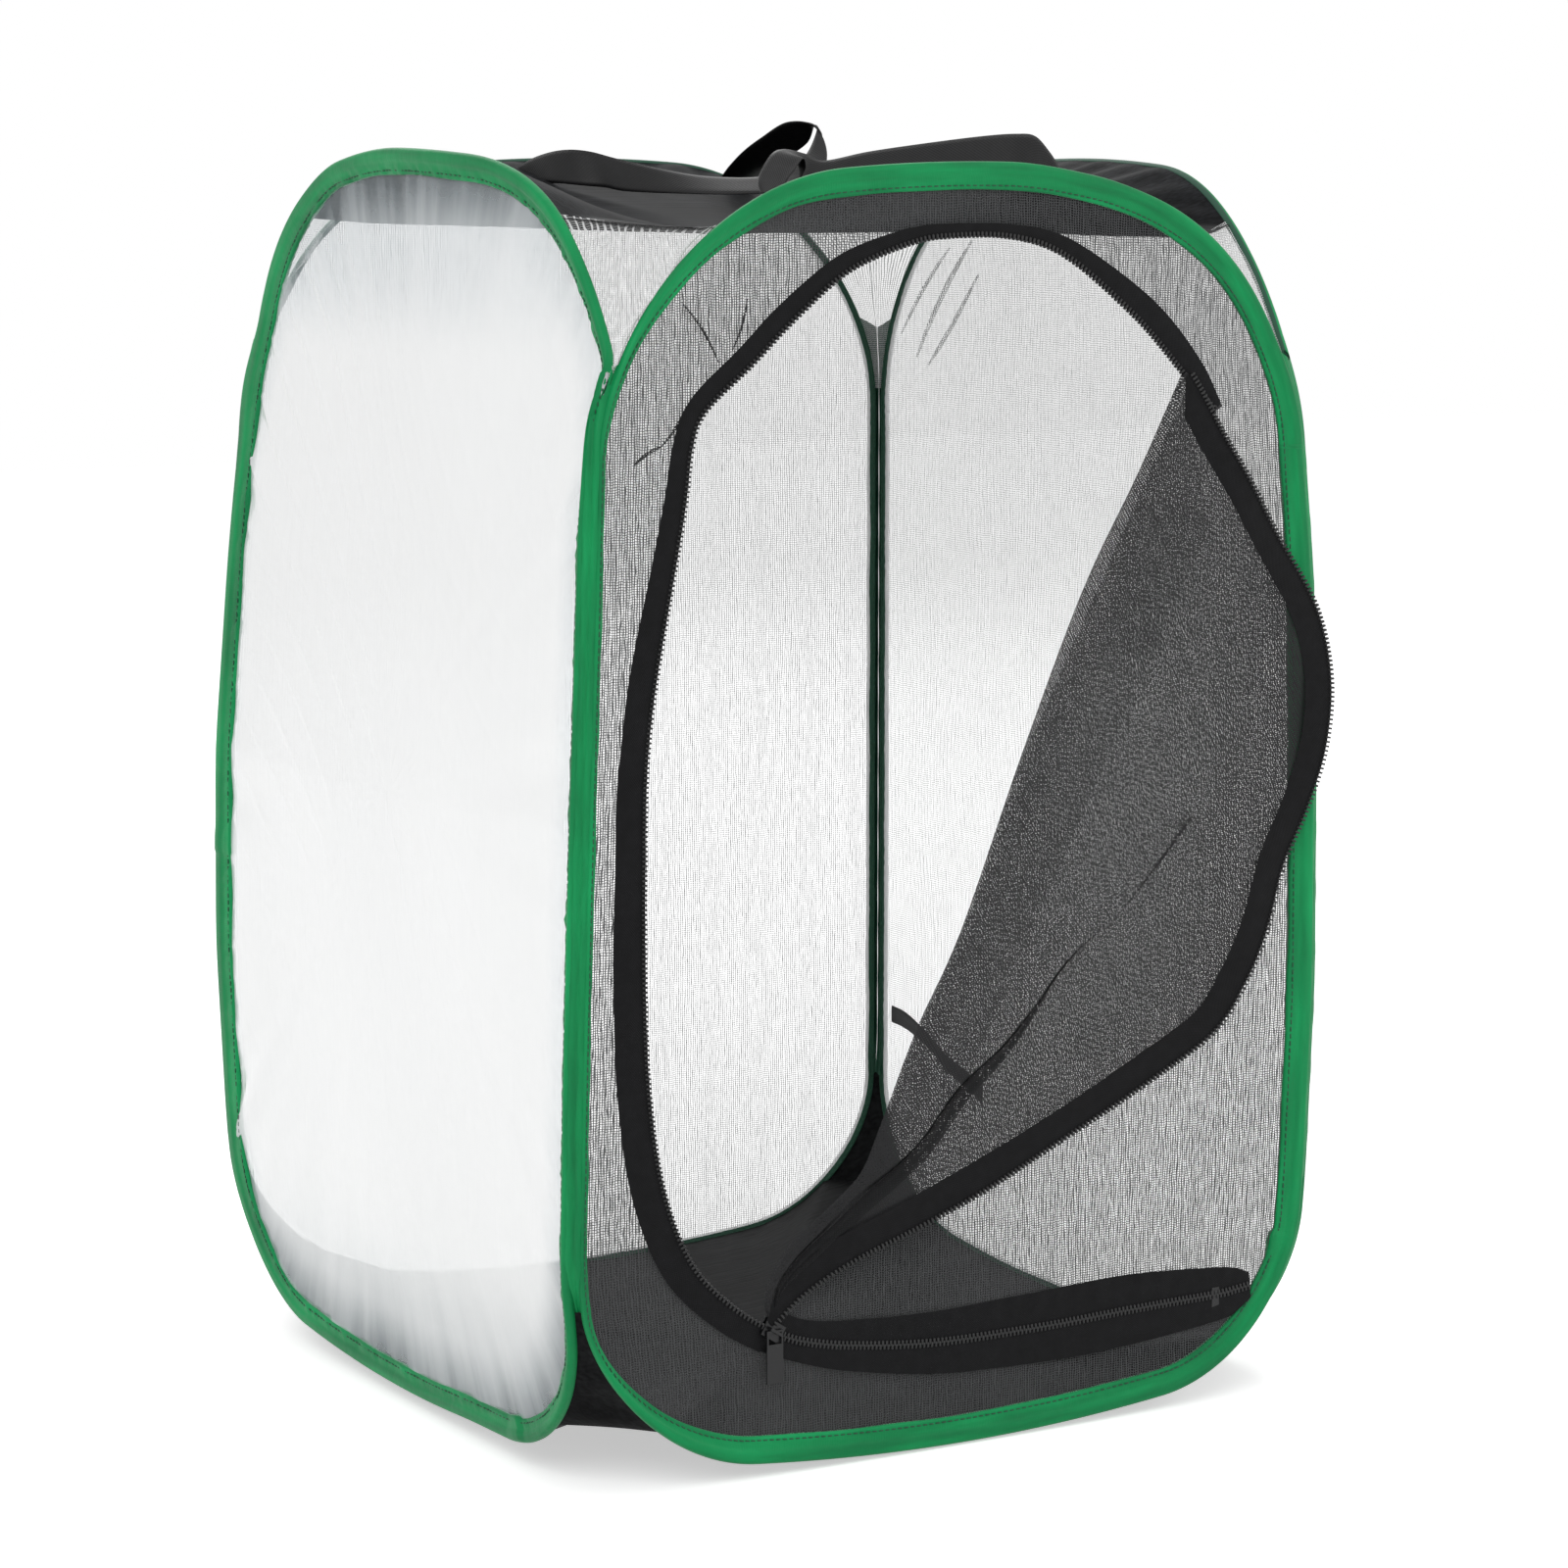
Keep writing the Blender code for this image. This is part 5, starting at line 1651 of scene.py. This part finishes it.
@dataclass
class Strap(Part):
    """Webbing strap: a ribbon with thickness between two edges, given by marks in millimetres in the cage's frame."""

    name: str
    node: str
    body: str
    marks: tuple[tuple[float, float, float, float, float, float], ...]
    thick: float = 1.3 * MM
    samples: int = 220

    def build(self) -> list[Piece]:
        """A rounded flat profile carried along the smooth ribbon through the marks.

        Each mark holds a place on the upper edge and its partner on the lower edge.
        """
        path = smooth_path(self.marks, self.samples) * MM
        first, second = path[:, :3], path[:, 3:]
        centre, half = (first + second) / 2, (second - first) / 2
        along = np.gradient(centre, axis=0)
        normal = np.cross(along, half)
        normal /= np.linalg.norm(normal, axis=1)[:, None]
        across = np.concatenate([np.linspace(-1, 1, 9), np.linspace(1, -1, 9)])
        face = np.concatenate([np.ones(9), -np.ones(9)])
        edge = np.sqrt(np.clip(1 - across**8, 0.12, 1))
        grid = centre[:, None] + half[:, None] * across[None, :, None]
        grid = grid + normal[:, None] * (face * edge * self.thick / 2)[None, :, None]
        run = run_along(centre)
        uv = spread(run[:, None], (across * 10 * MM)[None])
        faces = grid_faces(self.samples, 18, loop_columns=True)
        ring = np.arange(9)
        lids = np.stack([ring[:-1], ring[1:], 17 - ring[1:], 17 - ring[:-1]], axis=1)[:, ::-1]
        faces = np.concatenate([faces, lids, lids + (self.samples - 1) * 18])
        piece = make_piece(self.name, grid, faces, self.finishes.webbing, uv, outward=True)
        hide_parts(self.node)
        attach(piece, self.body)
        return [piece]


def dress(nodes: dict[str, Piece], material: Material) -> None:
    """Give the frame's own small hard parts, which stay, a better finish.

    Args:
        nodes: the frame's nodes by name.
        material: their finish.
    """
    for name in ("zip_slider", "zip_pull", "zip_end_box", "zip_top_stop"):
        for slot in nodes[name].material_slots:
            slot.material = material
        log.info("dressed %s with %s", name, material.name)


@dataclass(frozen=True)
class Studio:
    """White floor and surround, soft lights, and the photograph's camera."""

    aim: Triple = (0.0, 0.0, 0.3)
    floor_half: float = 6.0
    floor_drop: float = 1.2 * MM
    camera_place: Triple = (-1.15049, -1.96255, 0.61135)
    camera_down: float = math.radians(8.04)
    camera_right: float = math.radians(30.67)
    focal_pixels: float = 4685.0
    photo_pixels: float = 1600.0
    sensor: float = 36.0

    def floor(self) -> None:
        """Large pale floor under the cage."""
        corners = np.array([[-1, -1, 0], [1, -1, 0], [1, 1, 0], [-1, 1, 0]]) * self.floor_half
        points = corners - np.array([0, 0, self.floor_drop])
        floor = make_piece("studio_floor", points, np.array([[0, 1, 2, 3]]), WhiteFloor().build())

    def world(self) -> None:
        """White surround for the camera and reflections, a softer one for the light it gives."""
        world = bpy.data.worlds.new("studio_world")
        bpy.context.scene.world = world
        world.use_nodes = True
        graph = ShaderGraph(world.node_tree)
        strength = graph.remap(graph.seen(), target=(0.55, 1.0))
        graph.fill(world.node_tree.nodes["Background"], {"Color": (1.0, 1.0, 1.0, 1.0), "Strength": strength})

    def lamp(self, name: str, place: Triple, size: float, power: float) -> None:
        """Soft square lamp at a place, pointing at the cage's middle."""
        data = bpy.data.lights.new(name, "AREA")
        data.size = size
        data.energy = power
        lamp = bpy.data.objects.new(name, data)
        lamp.location = place
        lamp.rotation_euler = (Vector(self.aim) - Vector(place)).to_track_quat("-Z", "Y").to_euler()
        bpy.context.scene.collection.objects.link(lamp)

    def camera(self) -> None:
        """Camera at the photograph's place: a long lens, turned to the right and a little down."""
        data = bpy.data.cameras.new("photo_camera")
        data.sensor_fit = "HORIZONTAL"
        data.sensor_width = self.sensor
        data.lens = self.sensor * self.focal_pixels / self.photo_pixels
        data.clip_end = 50
        cam = bpy.data.objects.new("photo_camera", data)
        cam.location = self.camera_place
        cam.rotation_euler = (math.pi / 2 - self.camera_down, 0.0, -self.camera_right)
        bpy.context.scene.collection.objects.link(cam)
        bpy.context.scene.camera = cam

    def build(self) -> None:
        """Set the camera, stage and lights."""
        self.camera()
        self.floor()
        self.world()
        self.lamp("key_lamp", (-2.2, -2.0, 2.6), 2.2, 46)
        self.lamp("fill_lamp", (2.4, -1.6, 1.6), 2.0, 20)
        self.lamp("back_lamp", (0.6, 2.6, 2.2), 2.0, 24)
        bpy.context.scene.view_settings.view_transform = "Standard"


@dataclass
class InsectCage:
    """The whole cage, built part by part on the frame's bodies."""

    shape: CageShape
    finishes: Finishes
    door: DoorShape = DoorShape()

    def straps(self) -> list[Strap]:
        """The two carrying straps and the tie strap: pairs of edge places along each."""
        front = (
            (-112, -191, 586, -100, -191, 584), (-109, -184, 592, -95, -184, 590), (-101, -176, 599, -86, -177, 596),
            (-92, -169, 604, -78, -171, 601), (-81, -162, 605, -75, -168, 597), (-69, -158, 603, -76, -166, 590),
            (-60, -160, 600, -66, -171, 588), (-38, -163, 604, -44, -175, 590), (-7, -166, 608, -12, -178, 592),
            (21, -168, 611, 14, -180, 594), (38, -169, 612, 30, -181, 595), (46, -173, 611, 36, -184, 595),
            (48, -182, 604, 37, -189, 593), (50, -192, 593, 38, -192, 590),
        )
        back = (
            (-47, 199, 585, -40, 199, 580), (-37, 181, 597, -36, 171, 586), (-32, 166, 602, -33, 153, 587),
            (-26, 153, 604, -26, 140, 586), (-18, 142, 603, -17, 130, 585), (-8, 128, 599, -10, 116, 583),
            (14, 100, 592, 11, 84, 582), (32, 86, 590, 28, 69, 582), (51, 78, 591, 48, 62, 583),
            (68, 79, 597, 69, 66, 588), (80, 87, 604, 83, 75, 597), (90, 96, 614, 90, 88, 608),
            (94, 105, 616, 89, 99, 617), (98, 118, 608, 84, 117, 618), (98, 136, 601, 81, 138, 610),
            (100, 156, 596, 82, 158, 603), (106, 178, 591, 86, 180, 595), (113, 198, 586, 92, 199, 589),
        )
        wall = (self.shape.centre_x + self.shape.middle) / MM
        tie = tuple(
            (wall - inward, y, z + half, wall - inward + lean, y, z - half)
            for inward, y, z, lean, half in (
                (2.0, 183, 124, 0.0, 4.7),
                (3.5, 165, 122.5, 0.5, 4.7),
                (6.0, 140, 116, 1.5, 4.6),
                (8.0, 118, 108, 0.5, 4.6),
                (6.0, 98, 101, 0.0, 4.6),
                (5.0, 86, 95, 0.0, 4.6),
            )
        )
        return [
            Strap(self.shape, self.finishes, "front_carry_strap", "front_handle", "front_grip", front),
            Strap(self.shape, self.finishes, "back_carry_strap", "back_handle", "back_grip", back),
            Strap(self.shape, self.finishes, "corner_tie_strap", "tie_strap", "right_side", tie, 0.9 * MM),
        ]

    def parts(self) -> list[Any]:
        """Every sub-assembly, in the order it is built."""
        shape, finishes, door = self.shape, self.finishes, self.door
        zip_parts = Zip(shape, finishes, door)
        right = (
            Pinch((0.104, 0.556), (0.160, 0.492), 4.5 * MM, 0.03),
            Pinch((0.097, 0.538), (0.148, 0.488), 3.8 * MM, -0.02),
            Pinch((0.126, 0.552), (0.176, 0.504), 3.4 * MM, 0.03),
        )
        front = (
            Pinch((-0.118, 0.540), (-0.126, 0.517), 1.2 * MM, 0.05),
            Pinch((-0.152, 0.539), (-0.133, 0.512), 1.3 * MM, 0.05),
            Pinch((-0.176, 0.468), (-0.162, 0.476), 1.8 * MM, 0.05),
            Pinch((-0.162, 0.476), (-0.150, 0.492), 1.5 * MM, -0.05),
        )
        far_width = BandWidth(4.4 * MM, 4.4 * MM, 4.4 * MM, 4.4 * MM, inner=3.8 * MM)
        front_width = BandWidth(3.6 * MM, 13.5 * MM, 12.8 * MM, 13.5 * MM)
        left_width = BandWidth(16.5 * MM, 6.0 * MM, 12.5 * MM, 12.0 * MM, pucker=0.34 * MM)
        roof_turn, floor_turn = math.radians(58.5), math.radians(52.0)
        return [
            Hoop(shape, finishes, Side.FRONT, front_width, (0.775,)),
            Hoop(shape, finishes, Side.LEFT, left_width, (0.42, 0.72)),
            Hoop(shape, finishes, Side.RIGHT, far_width, (0.74,)),
            Hoop(shape, finishes, Side.BACK, far_width, (0.74,)),
            *(CornerSeam(shape, finishes, k, name, (a, b)) for k, (name, a, b) in enumerate(CORNERS)),
            Window(shape, finishes),
            FrontWall(shape, finishes, Side.FRONT, finishes.dark_net, "front_mesh_panel", front, door=door),
            WallNet(shape, finishes, Side.RIGHT, finishes.pale_net, "right_mesh_panel", right),
            WallNet(shape, finishes, Side.BACK, finishes.pale_net, "back_mesh_panel"),
            zip_parts,
            DoorFlap(shape, finishes, door, zip_parts),
            EndCloth(shape, finishes, Level.TOP, roof_turn, shape.height - 36 * MM, 0.9 * MM, 1.7, 1.6 * MM, 3.0 * MM),
            EndCloth(shape, finishes, Level.FLOOR, floor_turn, 3.5 * MM, 1.8 * MM, 2.2, 0.9 * MM, 1.8 * MM),
            Gussets(shape, finishes, Level.TOP, math.radians(60.0)),
            Gussets(shape, finishes, Level.FLOOR, math.radians(54.0), math.radians(0.5)),
            *self.straps(),
        ]

    def build(self) -> None:
        """Build each sub-assembly and report its pieces."""
        for part in self.parts():
            for piece in part.build():
                log.info("built %s: %d faces", piece.name, len(piece.data.polygons))


def main() -> None:
    """Load the frame, build the studio and the cage."""
    logging.basicConfig(level=logging.INFO, format="%(name)s: %(message)s")
    for thing in list(bpy.data.objects):
        bpy.data.objects.remove(thing, do_unlink=True)
    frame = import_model()
    Studio().build()
    finishes = Finishes()
    dress(frame["nodes"], finishes.zinc)
    InsectCage(CageShape.from_frame(), finishes).build()


if __name__ == "__main__":
    main()
